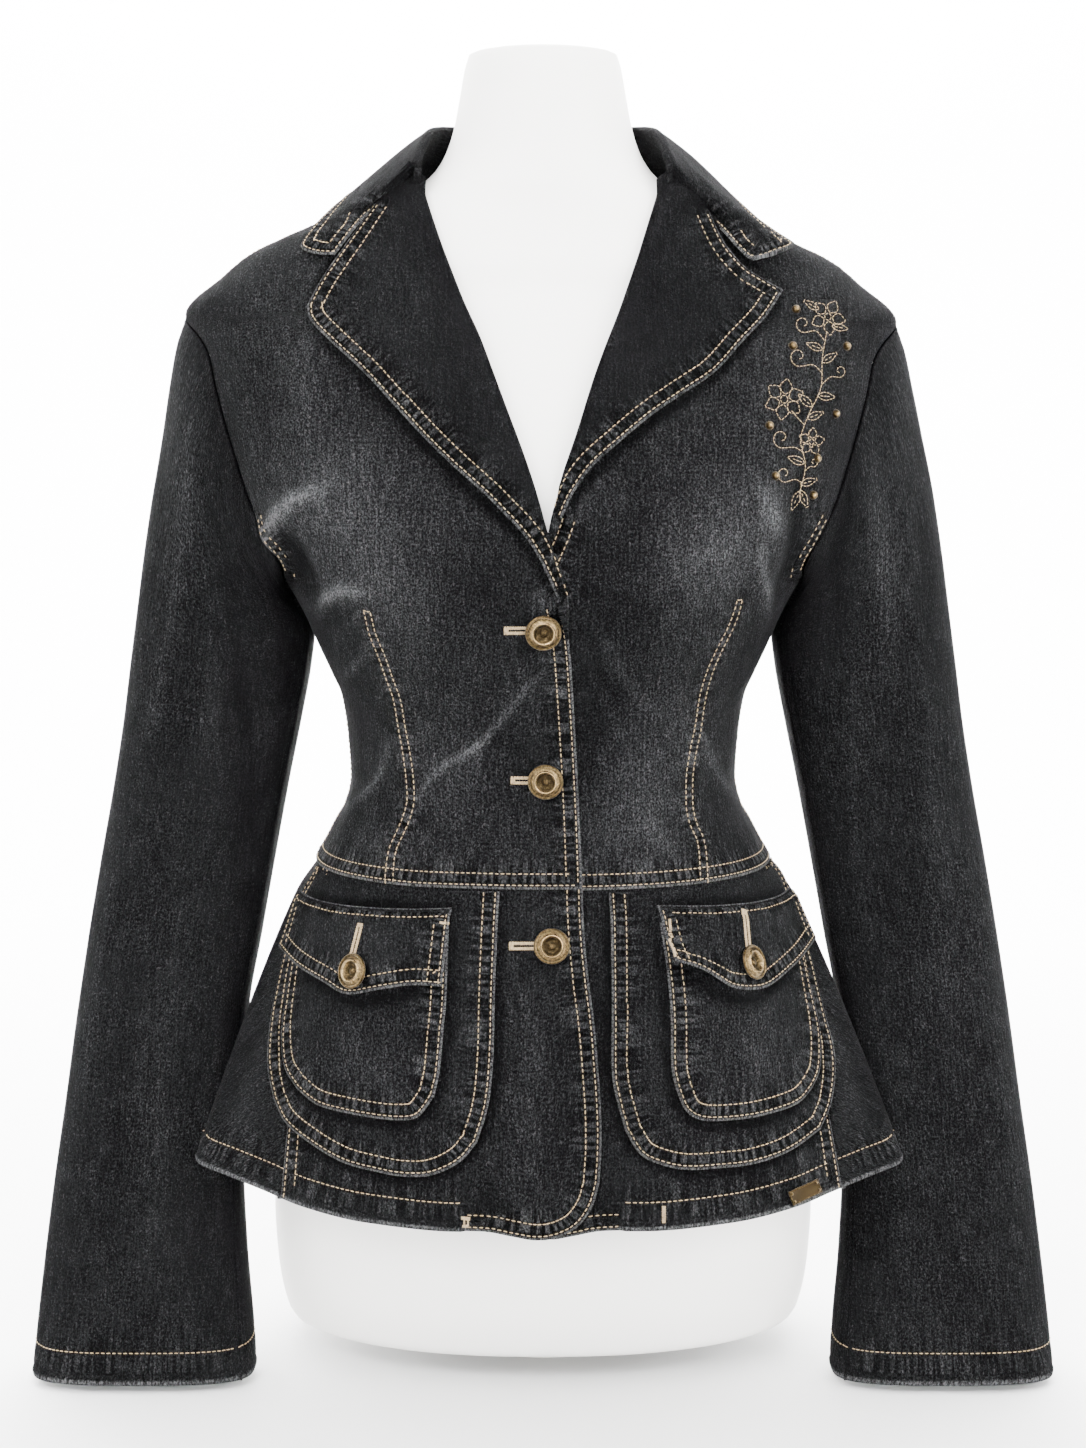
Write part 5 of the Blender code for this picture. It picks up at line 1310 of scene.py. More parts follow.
def lapel(name, side, edge, outline):
    """Turned-back front, from the roll line out to its edge and notch."""
    start = outline["break"]
    us = spaced(*GRID["lapel across"], low=False)
    vs = spaced(*GRID["lapel along"], low=False)
    heights = start + (outline["top"][0][1] - start) * vs
    roll = np.stack([smooth(edge, 1, heights), heights], -1)
    outer = flowing(outline["outer"], vs)
    top = flowing(outline["top"], us)
    low = flowing([roll[0], outline["outer"][0]], us)
    roll[-1] = top[0]
    grid = patch(low, top, roll, outer, us, vs)
    lift = ROLL[-1][1] * (1 - us) + LAPEL_EDGE_LIFT * us
    grown = ramp(0, LAPEL_GROWS, vs)
    low_end = LAPEL_LOW_LIFT + (1 - LAPEL_LOW_LIFT) * grown
    body = on_bodice(side, grid[..., 0], grid[..., 1], lift[None] * low_end[:, None])
    turned = np.array([on_bodice(side, grid[:, 0, 0] + step_in * grown, grid[:, 0, 1], height * low_end)
                       for step_in, height in ROLL[:-1]]).transpose(1, 0, 2)
    fold = grid[:, 0, 0] - LAPEL_FOLD_OUT * grown
    body[:, 0] = on_bodice(side, fold, grid[:, 0, 1], ROLL[-1][1] * low_end)
    grid = hung(np.concatenate([turned, body], 1))
    under = int(np.searchsorted(np.abs(grid[-1, :, 0]), COLLAR_COVERS))
    wide = np.linalg.norm(grid[:, -1] - grid[:, len(ROLL)], axis=1)
    from_tip = int(np.argmax(wide > LAPEL_ROW_FROM))
    seams = [("edge", grid[from_tip:, -1]), ("edge", grid[-1, under:])]
    behind = np.array([0, 0.4, 0.5])
    return sewn_piece(name, grid, DOUBLE, seams, LAPEL_CREASES, LAPEL_SPOTS, LAPEL_SHADE, behind, "level")


def collar(shares):
    """Stand and fall in one folded wall, from one notch round the neck to the other."""
    half = []
    for share in shares:
        neck, fold, middle, edge = (
            np.array([smooth([(row[0], *row[k]) for row in COLLAR], axis, share) for axis in (1, 2, 3)])
            for k in (1, 2, 3, 4))
        half.append(collar_section(neck, fold, middle, edge))
    half = np.array(half)
    mirrored = half[:-1][::-1] * np.array([-1, 1, 1])
    near_tip = np.exp(-((shares - LEFT_TIP["share"]) / LEFT_TIP["spread"]) ** 2)
    down_the_fall = np.linspace(0, 1, half.shape[1]) ** 3
    half = half + near_tip[:, None, None] * down_the_fall[:, None] * np.array(LEFT_TIP["move"])
    sag = ramp(0.12, 0, shares)[:, None] * np.sin(np.pi * np.linspace(0, 1, half.shape[1]) ** 1.4)
    half = half + sag[..., None] * np.array(LEFT_SAG)
    half = half + under_lapel(shares, half.shape[1])
    mirrored = mirrored + under_lapel(shares[:-1][::-1], half.shape[1])
    return hung(np.concatenate([half, mirrored]))


def under_lapel(shares, columns):
    """Push back of the collar's ends, which go in under the tops of the lapels."""
    push = ramp(0.08, 0, shares)[:, None] * ramp(0.75, 0.62, np.linspace(0, 1, columns))
    return push[..., None] * np.array([0, GORGE_TUCK, 0])


def collar_section(neck, fold, middle, edge):
    """Inside of the stand, over the fold and down the fall to its edge."""
    rise = fold - neck
    out = middle - fold
    out[2] = 0
    out /= np.linalg.norm(out)
    up = np.array([0, 0, 1])
    crest = [fold + FOLD_RADIUS * (out + up * math.sin(t) - out * math.cos(t))
             for t in np.radians(FOLD_TURNS)]
    stand = [neck + rise * share for share in np.linspace(0, 0.9, STAND_STEPS)]
    start = crest[-1]
    pull = 2 * middle - 0.5 * (start + edge)
    fall = [(1 - t) ** 2 * start + 2 * t * (1 - t) * pull + t * t * edge
            for t in spaced(*GRID["collar fall"], low=False)[1:]]
    return np.array(stand + crest + fall)


def collar_piece():
    """Collar with rows round its fall and plain edges where the lapels hide it."""
    shares = spaced(*GRID["collar along"], high=False)
    grid = collar(shares)
    # The fall starts after the points of the stand and of the fold
    fall = STAND_STEPS + len(FOLD_TURNS)
    seams = [("edge", grid[:, -1])]
    for row in (0, -1):
        notch = fall + int(np.searchsorted(np.abs(grid[row, fall:, 0]), COLLAR_ROW_FROM))
        seams.append(("edge", grid[row, notch:]))
        seams.append(("plain", grid[row, fall:notch]))
    return sewn_piece("collar", grid, DOUBLE, seams, COLLAR_CREASES, (), COLLAR_WEAR)


# Lapel patches: the lighter ones are worn cloth, the darker ones painted shade
LAPEL_SPOTS = [
    (-0.0480, 0.5560, 0.050, 0.012, -42, -0.05, -1),
    (-0.1120, 0.6000, 0.016, 0.016, 0, 0.06, -1),
    (0.1150, 0.6050, 0.016, 0.016, 0, 0.06, -1),
    (0.0400, 0.5560, 0.040, 0.010, 40, -0.05, -1),
    (-0.0850, 0.6000, 0.030, 0.045, 0, 0.06, -1),
    (0.0850, 0.6000, 0.030, 0.045, 0, -0.05, -1),
]
# Lapel and collar creases: a ridge is lighter as worn cloth and painted highlight, a hollow darker as
# painted shade
LAPEL_CREASES = [
    ([(-0.0800, 0.6620), (-0.0860, 0.6300), (-0.0840, 0.5950)], 0.0100, 0.0012, 0.04, -1),
    ([(-0.0640, 0.6450), (-0.0600, 0.6100), (-0.0500, 0.5750)], 0.0110, -0.0010, -0.03, -1),
    ([(-0.0960, 0.5900), (-0.0800, 0.5700), (-0.0640, 0.5560)], 0.0080, -0.0008, -0.03, -1),
    ([(0.0780, 0.6600), (0.0850, 0.6320), (0.0860, 0.6000)], 0.0100, 0.0012, 0.04, -1),
    ([(0.0620, 0.6400), (0.0580, 0.6050), (0.0470, 0.5700)], 0.0110, -0.0010, -0.03, -1),
]
COLLAR_CREASES = [
    ([(-0.0760, 0.6900), (-0.0860, 0.6760), (-0.0960, 0.6560)], 0.0060, 0.0010, 0.05, -1),
    ([(-0.0700, 0.6960), (-0.0760, 0.6840), (-0.0820, 0.6700)], 0.0045, -0.0009, -0.04, -1),
    ([(0.0800, 0.6860), (0.0900, 0.6700), (0.1040, 0.6540)], 0.0060, 0.0010, 0.05, -1),
    ([(0.0740, 0.6960), (0.0800, 0.6820), (0.0880, 0.6680)], 0.0045, -0.0009, -0.04, -1),
    ([(-0.0400, 0.6980), (-0.0300, 0.6860), (-0.0360, 0.6740)], 0.0080, 0.0011, 0.06, 1),
    ([(0.0300, 0.7000), (0.0420, 0.6880), (0.0380, 0.6740)], 0.0080, 0.0011, 0.06, 1),
]

lapel("lapel_right", -1, RIGHT_EDGE, RIGHT_LAPEL)
lapel("lapel_left", 1, LEFT_EDGE, LEFT_LAPEL)
collar_piece()


# Sleeves


def armhole_line(part, count):
    """Front (1) or back (2) edge of the armhole from the shoulder down to the underarm."""
    heights = np.linspace(SHOULDER, UNDERARM, 60)
    line = bodice_point(smooth(ARMHOLE, part, heights), heights)
    return respaced(line, np.linspace(0, 1, count))


def sleeve_ring(section, count):
    """Closed squared oval, from the outer fold over the front and back round again."""
    outer_x, outer_z, inner_x, inner_z, middle_y, depth, power = section
    outer = np.array([outer_x, middle_y, outer_z])
    inner = np.array([inner_x, middle_y, inner_z])
    middle, half = (outer + inner) / 2, (outer - inner) / 2
    turn = np.radians(np.linspace(0, 180, 90))
    size = (np.abs(np.cos(turn)) ** power + np.abs(np.sin(turn)) ** power) ** (-1 / power)
    ahead = np.array([0, -1, 0])
    front = middle + (size * np.cos(turn))[:, None] * half + (size * np.sin(turn) * depth)[:, None] * ahead
    front = respaced(front, np.linspace(0, 1, count // 2 + 1))
    back = front.copy()
    back[:, 1] = 2 * middle_y - front[:, 1]
    return np.concatenate([front, back[1:-1][::-1]])


def sleeve_tube(count):
    """Rings of points from the armhole to the cuff, for the wearer's left."""
    rings = [sleeve_ring(section, count) for section in SLEEVE]
    front = armhole_line(1, count // 2 + 1)
    back = armhole_line(2, count // 2 + 1)
    armhole = np.concatenate([front, back[1:-1][::-1]])
    kept = armhole - rings[0]
    for k, share in enumerate(CAP_EASE):
        rings[k] = rings[k] + kept * share
    tube = np.array(rings)
    off = unit(tube[1] - tube[0])
    tube[0] += off * ARMHOLE_GAP
    return tube


def fine_rings(tube, shares):
    """The tube's rings read smoothly at shares of its length."""
    run = run_along(tube.mean(axis=1))
    at = shares * run[-1]
    out = np.empty((len(shares), tube.shape[1], 3))
    for k in range(tube.shape[1]):
        for axis in range(3):
            out[:, k, axis] = smooth(list(zip(run, tube[:, k, axis])), 1, at)
    return out


def around(tube, shares):
    """Points of each ring at shares of its way round; shares may run past 0 and 1."""
    closed = np.concatenate([tube, tube, tube, tube[:, :1]], 1)
    count = tube.shape[1]
    place = (np.asarray(shares) + 1) * count
    low = np.floor(place).astype(int)
    part = (place - low)[None, :, None]
    return closed[:, low] * (1 - part) + closed[:, low + 1] * part


# Sleeve creases: a ridge is lighter as worn cloth and painted highlight, a hollow darker as painted shade
SLEEVE_CREASES = {
    "right": [
        ([(-0.1962, 0.5700), (-0.2035, 0.4675), (-0.2200, 0.3900), (-0.2350, 0.3350)],
         0.0070, 0.0019, 0.15, -1),
        ([(-0.2480, 0.2900), (-0.2556, 0.2428), (-0.2660, 0.1700)], 0.0050, 0.0013, 0.13, -1),
        ([(-0.1770, 0.4600), (-0.1720, 0.4000), (-0.1700, 0.3300), (-0.1740, 0.2700)],
         0.0080, -0.0024, -0.14, -1),
        ([(-0.1900, 0.4300), (-0.1880, 0.3500), (-0.1960, 0.2800)], 0.0060, 0.0014, 0.08, -1),
        ([(-0.2083, 0.2900), (-0.2192, 0.1583), (-0.2274, 0.0450)], 0.0090, 0.0014, 0.07, -1),
        ([(-0.2330, 0.2600), (-0.2420, 0.1800), (-0.2500, 0.0900)], 0.0080, -0.0012, -0.06, -1),
        ([(-0.1860, 0.2300), (-0.1880, 0.1500), (-0.1860, 0.0600)], 0.0055, 0.0011, 0.09, -1),
        ([(-0.2130, 0.5500), (-0.2180, 0.4900), (-0.2250, 0.4400)], 0.0060, -0.0013, -0.05, -1),
        ([(-0.2400, 0.3550), (-0.2200, 0.3480), (-0.1960, 0.3600)], 0.0080, 0.0021, 0.15, 1),
        ([(-0.2380, 0.3300), (-0.2150, 0.3250), (-0.1900, 0.3420)], 0.0070, -0.0018, -0.10, 1),
        ([(-0.2480, 0.3050), (-0.2280, 0.2960), (-0.2020, 0.3060)], 0.0075, 0.0020, 0.15, 1),
        ([(-0.2160, 0.5400), (-0.2180, 0.4700), (-0.2230, 0.4100)], 0.0090, 0.0015, 0.09, 1),
        ([(-0.2420, 0.2400), (-0.2520, 0.1500), (-0.2580, 0.0700)], 0.0085, 0.0014, 0.09, 1),
    ],
    "left": [
        ([(0.1790, 0.5450), (0.1850, 0.5000), (0.1914, 0.4550), (0.2003, 0.3850)],
         0.0085, 0.0021, 0.14, -1),
        ([(0.1700, 0.5200), (0.1660, 0.4700), (0.1680, 0.4100)], 0.0075, -0.0024, -0.14, -1),
        ([(0.2170, 0.4100), (0.2240, 0.3300), (0.2308, 0.2600), (0.2363, 0.1525)],
         0.0090, 0.0015, 0.08, -1),
        ([(0.1760, 0.3900), (0.1800, 0.3200), (0.1860, 0.2500)], 0.0060, 0.0013, 0.08, -1),
        ([(0.1960, 0.3400), (0.2040, 0.2600), (0.2120, 0.1900)], 0.0080, -0.0013, -0.06, -1),
        ([(0.2600, 0.2300), (0.2680, 0.1500), (0.2740, 0.0800)], 0.0060, 0.0013, 0.10, -1),
        ([(0.2010, 0.1800), (0.2050, 0.1200), (0.2080, 0.0500)], 0.0070, 0.0012, 0.07, -1),
        ([(0.2060, 0.5400), (0.2140, 0.4800), (0.2200, 0.4300)], 0.0065, -0.0012, -0.05, -1),
        ([(0.2430, 0.3480), (0.2230, 0.3400), (0.1980, 0.3540)], 0.0080, 0.0021, 0.15, 1),
        ([(0.2400, 0.3230), (0.2180, 0.3190), (0.1930, 0.3330)], 0.0070, -0.0018, -0.10, 1),
        ([(0.2500, 0.2990), (0.2300, 0.2900), (0.2050, 0.2980)], 0.0075, 0.0020, 0.15, 1),
        ([(0.2140, 0.5300), (0.2170, 0.4650), (0.2220, 0.4000)], 0.0090, 0.0015, 0.09, 1),
        ([(0.2440, 0.2350), (0.2540, 0.1450), (0.2600, 0.0650)], 0.0085, 0.0014, 0.09, 1),
    ],
}
SLEEVE_SPOTS = {
    "right": [
        (-0.1990, 0.5300, 0.014, 0.070, 4, 0.08, -1),
        (-0.2250, 0.3300, 0.026, 0.040, 0, 0.12, 1),
        (-0.2350, 0.2000, 0.030, 0.100, 4, 0.04, -1),
    ],
    "left": [
        (0.1950, 0.4900, 0.018, 0.090, -6, 0.08, -1),
        (0.2270, 0.3250, 0.026, 0.040, 0, 0.12, 1),
        (0.2300, 0.2400, 0.030, 0.110, -4, 0.05, -1),
    ],
}


def sleeves():
    """Both sleeves, each an upper and an under piece cut from one tube."""
    tube = fine_rings(sleeve_tube(SLEEVE_POINTS), spaced(*GRID["sleeve along"]))
    gap = SLEEVE_HALF_GAP / SLEEVE_ROUND
    round_upper = FRONT_SLEEVE_SEAM - BACK_SLEEVE_SEAM + 1 - 2 * gap
    upper = BACK_SLEEVE_SEAM - 1 + gap + round_upper * spaced(*GRID["upper sleeve across"])
    round_under = BACK_SLEEVE_SEAM - FRONT_SLEEVE_SEAM - 2 * gap
    under = FRONT_SLEEVE_SEAM + gap + round_under * spaced(*GRID["under sleeve across"])
    under_lapped = np.concatenate([under[0] - SLEEVE_LAP, under, under[-1] + SLEEVE_LAP[::-1]])
    for side, word in ((-1, "right"), (1, "left")):
        mirror = np.array([side, 1, 1])
        for part, shares, lapped in (("upper", upper, 0), ("under", under_lapped, len(SLEEVE_LAP))):
            grid = hung(around(tube, shares) * mirror)
            middle = hung(tube.mean(axis=1)[:, None] * mirror)
            for column in (*range(lapped), *range(-lapped, 0)):
                grid[:, column] -= unit(grid[:, column] - middle[:, 0]) * LAP_DOWN
            last = grid.shape[1] - 1 - lapped
            seams = [("cuff", grid[-1, lapped:last + 1]), ("plain", grid[0]),
                     ("plain", grid[:, lapped]), ("plain", grid[:, last])]
            sewn_piece(f"sleeve_{part}_{word}", grid, DENIM, seams, SLEEVE_CREASES[word],
                       SLEEVE_SPOTS[word], SLEEVE_WEAR, middle)


sleeves()


# Peplum and what is sewn on it


def tuck(fall):
    """The top of the peplum lies just inside the edge of the bodice."""
    return -TUCK * (1 - ramp(0.02, 0.14, fall))


def peplum_front(name, side, seam_angle, creases, spots):
    """From the front edge to the side seam, with the rounded corner at the hem."""
    vs = spaced(*GRID["peplum front along"], high=False)
    us = spaced(*GRID["peplum front across"])
    edge_line = outline_on_peplum(side, PEPLUM_EDGE[::-1], vs)
    seam_end = side * (seam_angle - PEPLUM_SEAM_GAP)
    half = len(us) // 2
    corner = outline_on_peplum(side, PEPLUM_CORNER, us[:half] / us[half - 1])
    rest = (us[half:] - us[half - 1]) / (1 - us[half - 1])
    along_hem = corner[-1][0] + (seam_end - corner[-1][0]) * rest
    low = np.concatenate([corner, np.stack([along_hem, np.ones_like(along_hem)], -1)])
    falls = PEPLUM_TOP_FALL + (1 - PEPLUM_TOP_FALL) * (1 - vs)
    seam = np.stack([np.full(len(vs), seam_end), falls], -1)
    top = np.stack([edge_line[-1][0] + (seam_end - edge_line[-1][0]) * us,
                    np.full(len(us), PEPLUM_TOP_FALL)], -1)
    edge_line[0], edge_line[-1] = low[0], top[0]
    grid = patch(low, top, edge_line, seam, us, vs)
    grid = hung(on_peplum(side, grid, tuck(grid[..., 1])))
    seams = [
        ("edge", np.concatenate([grid[::-1, 0], grid[0, 1:half]])),
        ("hem", grid[0, half - 1:]),
        ("edge", grid[:, -1]),
    ]
    return sewn_piece(name, grid, DENIM, seams, creases, spots, PEPLUM_WEAR, plumb=side * 0.06)


def peplum_back(creases, spots):
    """Skirt of the back, from one side seam to the other."""
    vs = spaced(*GRID["peplum back along"], high=False)
    us = spaced(*GRID["peplum back across"])
    span = 360 - SEAM_ANGLE["right"] - SEAM_ANGLE["left"] - 2 * PEPLUM_SEAM_GAP
    angle = SEAM_ANGLE["left"] + PEPLUM_SEAM_GAP + span * us
    angle = np.concatenate([angle[0] - PEPLUM_LAP, angle, angle[-1] + PEPLUM_LAP[::-1]])
    lapped = len(PEPLUM_LAP)
    down = np.concatenate([[LAP_DOWN] * lapped, 0 * us, [LAP_DOWN] * lapped])
    angle = np.where(angle > 180, angle - 360, angle)
    falls = PEPLUM_TOP_FALL + (1 - PEPLUM_TOP_FALL) * (1 - vs)
    angle, fall = np.meshgrid(angle, falls)
    grid = hung(lifted(peplum_point, angle, fall, tuck(fall) - down[None]))
    seams = [("hem", grid[0, lapped:-lapped]), ("plain", grid[:, lapped]), ("plain", grid[:, -lapped - 1])]
    return sewn_piece("peplum_back", grid, DENIM, seams, creases, spots, PEPLUM_WEAR)


def sewn_on(name, side, part, outline, lift, kinds, creases, spots):
    """Piece laid on the peplum inside its outline; lift gives its height at shares u, v."""
    us = spaced(*GRID[f"{part} across"])
    vs = spaced(*GRID[f"{part} along"], high=kinds[1] is not None)
    inner = outline_on_peplum(side, outline["inner"][::-1], vs)
    outer = outline_on_peplum(side, outline["outer"], vs)
    low = outline_on_peplum(side, outline["bottom"], us)
    top = outline_on_peplum(side, [outline["inner"][0], outline["outer"][-1]], us)
    low[0], low[-1], top[0], top[-1] = inner[0], outer[0], inner[-1], outer[-1]
    grid = patch(low, top, inner, outer, us, vs)
    u, v = np.meshgrid(us, vs)
    grid = hung(on_peplum(side, grid, lift(u, v)))
    seams = [(kinds[0], np.concatenate([grid[::-1, 0], grid[0, 1:], grid[1:, -1]]))]
    if kinds[1]:
        seams.append((kinds[1], grid[-1]))
    return sewn_piece(name, grid, DENIM, seams, creases, spots, PEPLUM_WEAR, plumb=side * 0.09)


def panel_lift(u, v):
    """A panel goes in under the waist seam at its top."""
    return PANEL_LIFT - PANEL_TUCK * ramp(0.86, 1, v) + 0 * u


def pocket_lift(u, v):
    """A pocket stands fullest in its middle."""
    return POCKET_LIFT + POCKET_FULLNESS * np.sin(np.pi * u) * np.sin(np.pi * v) ** 1.2


def flap_lift(curl):
    """A flap springs out towards its lower edge; curl turns up its inner corner."""
    def lift(u, v):
        turned_up = curl * ramp(0.45, 0, u) * ramp(0.7, 0, v) ** 2
        sewn_down = FLAP_SEWN_DOWN * ramp(0.80, 1, v)
        return FLAP_LIFT + FLAP_SPRING * (1 - v) ** 1.5 + turned_up - sewn_down
    return lift


# Skirt creases: a ridge is lighter as worn cloth and painted highlight, a hollow darker as painted shade
SKIRT_CREASES = [
    ([(-0.0080, 0.2500), (-0.0060, 0.2000), (-0.0120, 0.1500)], 0.0100, 0.0012, 0.05, -1),
    ([(-0.1500, 0.2100), (-0.1600, 0.1800), (-0.1720, 0.1480)], 0.0080, 0.0020, 0.10, -1),
    ([(-0.1640, 0.2050), (-0.1760, 0.1700), (-0.1840, 0.1420)], 0.0060, -0.0016, -0.05, -1),
    ([(0.1560, 0.2150), (0.1680, 0.1800), (0.1780, 0.1500)], 0.0080, 0.0020, 0.10, -1),
    ([(0.1700, 0.2050), (0.1800, 0.1750), (0.1880, 0.1450)], 0.0060, -0.0016, -0.05, -1),
    ([(-0.0900, 0.2050), (-0.0850, 0.1900), (-0.0900, 0.1760)], 0.0090, 0.0009, 0.06, -1),
    ([(0.1100, 0.2080), (0.1180, 0.1950), (0.1160, 0.1800)], 0.0090, 0.0010, 0.08, -1),
    ([(0.0450, 0.2700), (0.0460, 0.2200), (0.0480, 0.1700)], 0.0060, -0.0008, -0.03, -1),
    ([(-0.0900, 0.2850), (-0.1050, 0.2830)], 0.0040, 0.0006, 0.06, -1),
    ([(-0.1100, 0.2500), (-0.1260, 0.2000), (-0.1330, 0.1450)], 0.0110, 0.0030, 0.12, 1),
    ([(-0.0850, 0.2400), (-0.0960, 0.1900), (-0.0980, 0.1350)], 0.0100, -0.0026, -0.10, 1),
    ([(-0.0550, 0.2550), (-0.0620, 0.2000), (-0.0600, 0.1300)], 0.0110, 0.0028, 0.12, 1),
    ([(-0.0180, 0.2400), (-0.0220, 0.1900), (-0.0200, 0.1300)], 0.0100, -0.0022, -0.08, 1),
    ([(0.0160, 0.2600), (0.0190, 0.2000), (0.0240, 0.1300)], 0.0110, 0.0028, 0.12, 1),
    ([(0.0520, 0.2400), (0.0600, 0.1900), (0.0640, 0.1300)], 0.0100, -0.0024, -0.08, 1),
    ([(0.0850, 0.2550), (0.1010, 0.2000), (0.1060, 0.1350)], 0.0110, 0.0030, 0.12, 1),
    ([(0.1180, 0.2300), (0.1380, 0.1800), (0.1420, 0.1400)], 0.0100, -0.0022, -0.08, 1),
]
PANEL_INSIDE = (0.0900, 0.2150)
POCKET_INSIDE = (0.1000, 0.2150)
FLAP_INSIDE = (0.1000, 0.2600)
# Skirt patches: the lighter ones are worn cloth, the darker strip beside the front edge painted shade
SKIRT_SPOTS = [
    (-0.0080, 0.1700, 0.020, 0.040, 0, 0.06, -1),
    (-0.0950, 0.2000, 0.030, 0.024, 0, 0.07, -1),
    (0.1130, 0.2020, 0.030, 0.026, 0, 0.10, -1),
    (-0.1000, 0.2620, 0.026, 0.012, 0, 0.06, -1),
    (0.1100, 0.2650, 0.026, 0.012, 0, 0.05, -1),
    (0.0300, 0.2000, 0.008, 0.060, 0, -0.08, -1),
]

for side, word, panel, pocket, flap in ((-1, "right", RIGHT_PANEL, RIGHT_POCKET, RIGHT_FLAP),
                                        (1, "left", LEFT_PANEL, LEFT_POCKET, LEFT_FLAP)):
    panel_edge, pocket_edge = (part["inner"] + part["bottom"][1:] + part["outer"][1:]
                               for part in (panel, pocket))
    on_peplum_front = SKIRT_CREASES + [shadow_beside(side, panel_edge, PANEL_INSIDE)]
    on_panel = SKIRT_CREASES + [shadow_beside(side, pocket_edge, POCKET_INSIDE),
                                shadow_beside(side, flap["bottom"], FLAP_INSIDE),
                                shadow_beside(side, [flap["inner"][0], flap["outer"][-1]], FLAP_INSIDE)]
    on_pocket = SKIRT_CREASES + [shadow_beside(side, flap["bottom"], FLAP_INSIDE, 0.0026, 0.0050, -0.40)]
    peplum_front(f"peplum_front_{word}", side, SEAM_ANGLE[word], on_peplum_front, SKIRT_SPOTS)
    sewn_on(f"pocket_panel_{word}", side, "panel", panel, panel_lift, ("edge", None), on_panel, SKIRT_SPOTS)
    sewn_on(f"pocket_{word}", side, "pocket", pocket, pocket_lift, ("edge", None), on_pocket, SKIRT_SPOTS)
    sewn_on(f"flap_{word}", side, "flap", flap, flap_lift(FLAP_CURL[word]), ("edge", "flap top"),
            SKIRT_CREASES, SKIRT_SPOTS)
peplum_back(SKIRT_CREASES, SKIRT_SPOTS)


# Dress form


def dress_form(columns):
    """Smooth limbless body that fills the blazer and shows at the neck and hips."""
    angle = np.linspace(0, 360, columns, endpoint=False)
    turn = np.where(angle > 180, angle - 360, angle)
    heights = np.concatenate([[0.0136, 0.0150, 0.0165, 0.0195], np.linspace(0.024, 0.4149, 70)])
    rings = [np.stack([*oval(FORM, angle, z), np.full(columns, z)], -1) for z in heights]
    # Inside the blazer it keeps clear of the cloth
    for z in np.concatenate([np.linspace(0.4345, 0.6480, 44), [0.6560, 0.6640]]):
        touch = ramp(FORM_TOUCH["from"], FORM_TOUCH["full"], z)
        clearance = FORM_CLEARANCE + (FORM_TOUCH["clearance"] - FORM_CLEARANCE) * touch
        rings.append(hung(lifted(bodice_point, turn, np.full(columns, z), np.full(columns, -clearance))))
    for z in np.concatenate([np.linspace(0.6740, 0.7410, 22), [0.7450, 0.7480]]):
        rings.append(np.stack([*oval(FORM_NECK, angle, z), np.full(columns, z)], -1))
    last = rings[-1]
    for share, height in FORM_CROWN:
        ring = last * np.array([share, share, 0])
        ring[:, 2] = height
        rings.append(ring)
    rings = np.array(rings)
    rows = len(rings)

    nothing_selected()
    bpy.ops.mesh.primitive_cylinder_add(vertices=columns, radius=1, depth=1, end_fill_type="NGON")
    form = bpy.context.object
    form.name = "form"
    bpy.ops.object.mode_set(mode="EDIT")
    bm = bmesh.from_edit_mesh(form.data)
    sides = [edge for edge in bm.edges if abs(edge.verts[0].co.z - edge.verts[1].co.z) > 0.5]
    bmesh.ops.subdivide_edges(bm, edges=sides, cuts=rows - 2)
    for vert in bm.verts:
        ring = int(round((vert.co.z + 0.5) * (rows - 1)))
        column = int(round(math.degrees(math.atan2(vert.co.x, -vert.co.y)) / 360 * columns)) % columns
        vert.co = rings[ring][column]
    bmesh.ops.recalc_face_normals(bm, faces=bm.faces)
    bmesh.update_edit_mesh(form.data)
    bpy.ops.object.mode_set(mode="OBJECT")
    bpy.ops.object.shade_smooth_by_angle(angle=math.radians(50))
    form.data.materials.append(MATERIALS["form"])
    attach(form, "root")
    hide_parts("dress_form")


dress_form(FORM_POINTS)


# Buttons, plate and studs


def finished_metal(piece, name, top, dull=0.0):
    """Brass finish, rubbed brighter towards the top of the piece as it was modelled."""
    piece.name = name
    piece.data.name = name
    rub = piece.data.attributes.new("rub", "FLOAT", "POINT")
    heights = np.array([vert.co.z for vert in piece.data.vertices])
    rub.data.foreach_set("value", ramp(0.35 * top, top, heights) - dull)
    bpy.ops.object.shade_smooth_by_angle(angle=math.radians(42))
    piece.data.materials.append(MATERIALS["brass"])
    return piece


# Button outline from its shank up and in to its middle: radius, height
BUTTON_PROFILE = [
    (0.0030, 0.0016), (0.0082, 0.0017), (0.0094, 0.0021), (0.0098, 0.0028), (0.0096, 0.0035),
    (0.0091, 0.0039), (0.0086, 0.0038), (0.0083, 0.0033), (0.0080, 0.0033), (0.0070, 0.0040),
    (0.0065, 0.0045), (0.0061, 0.0051), (0.0057, 0.0052), (0.0053, 0.0049), (0.0049, 0.0041),
    (0.0042, 0.0030), (0.0032, 0.0023), (0.0024, 0.0022), (0.0019, 0.0025), (0.0013, 0.0032),
    (0.0007, 0.0034),
]


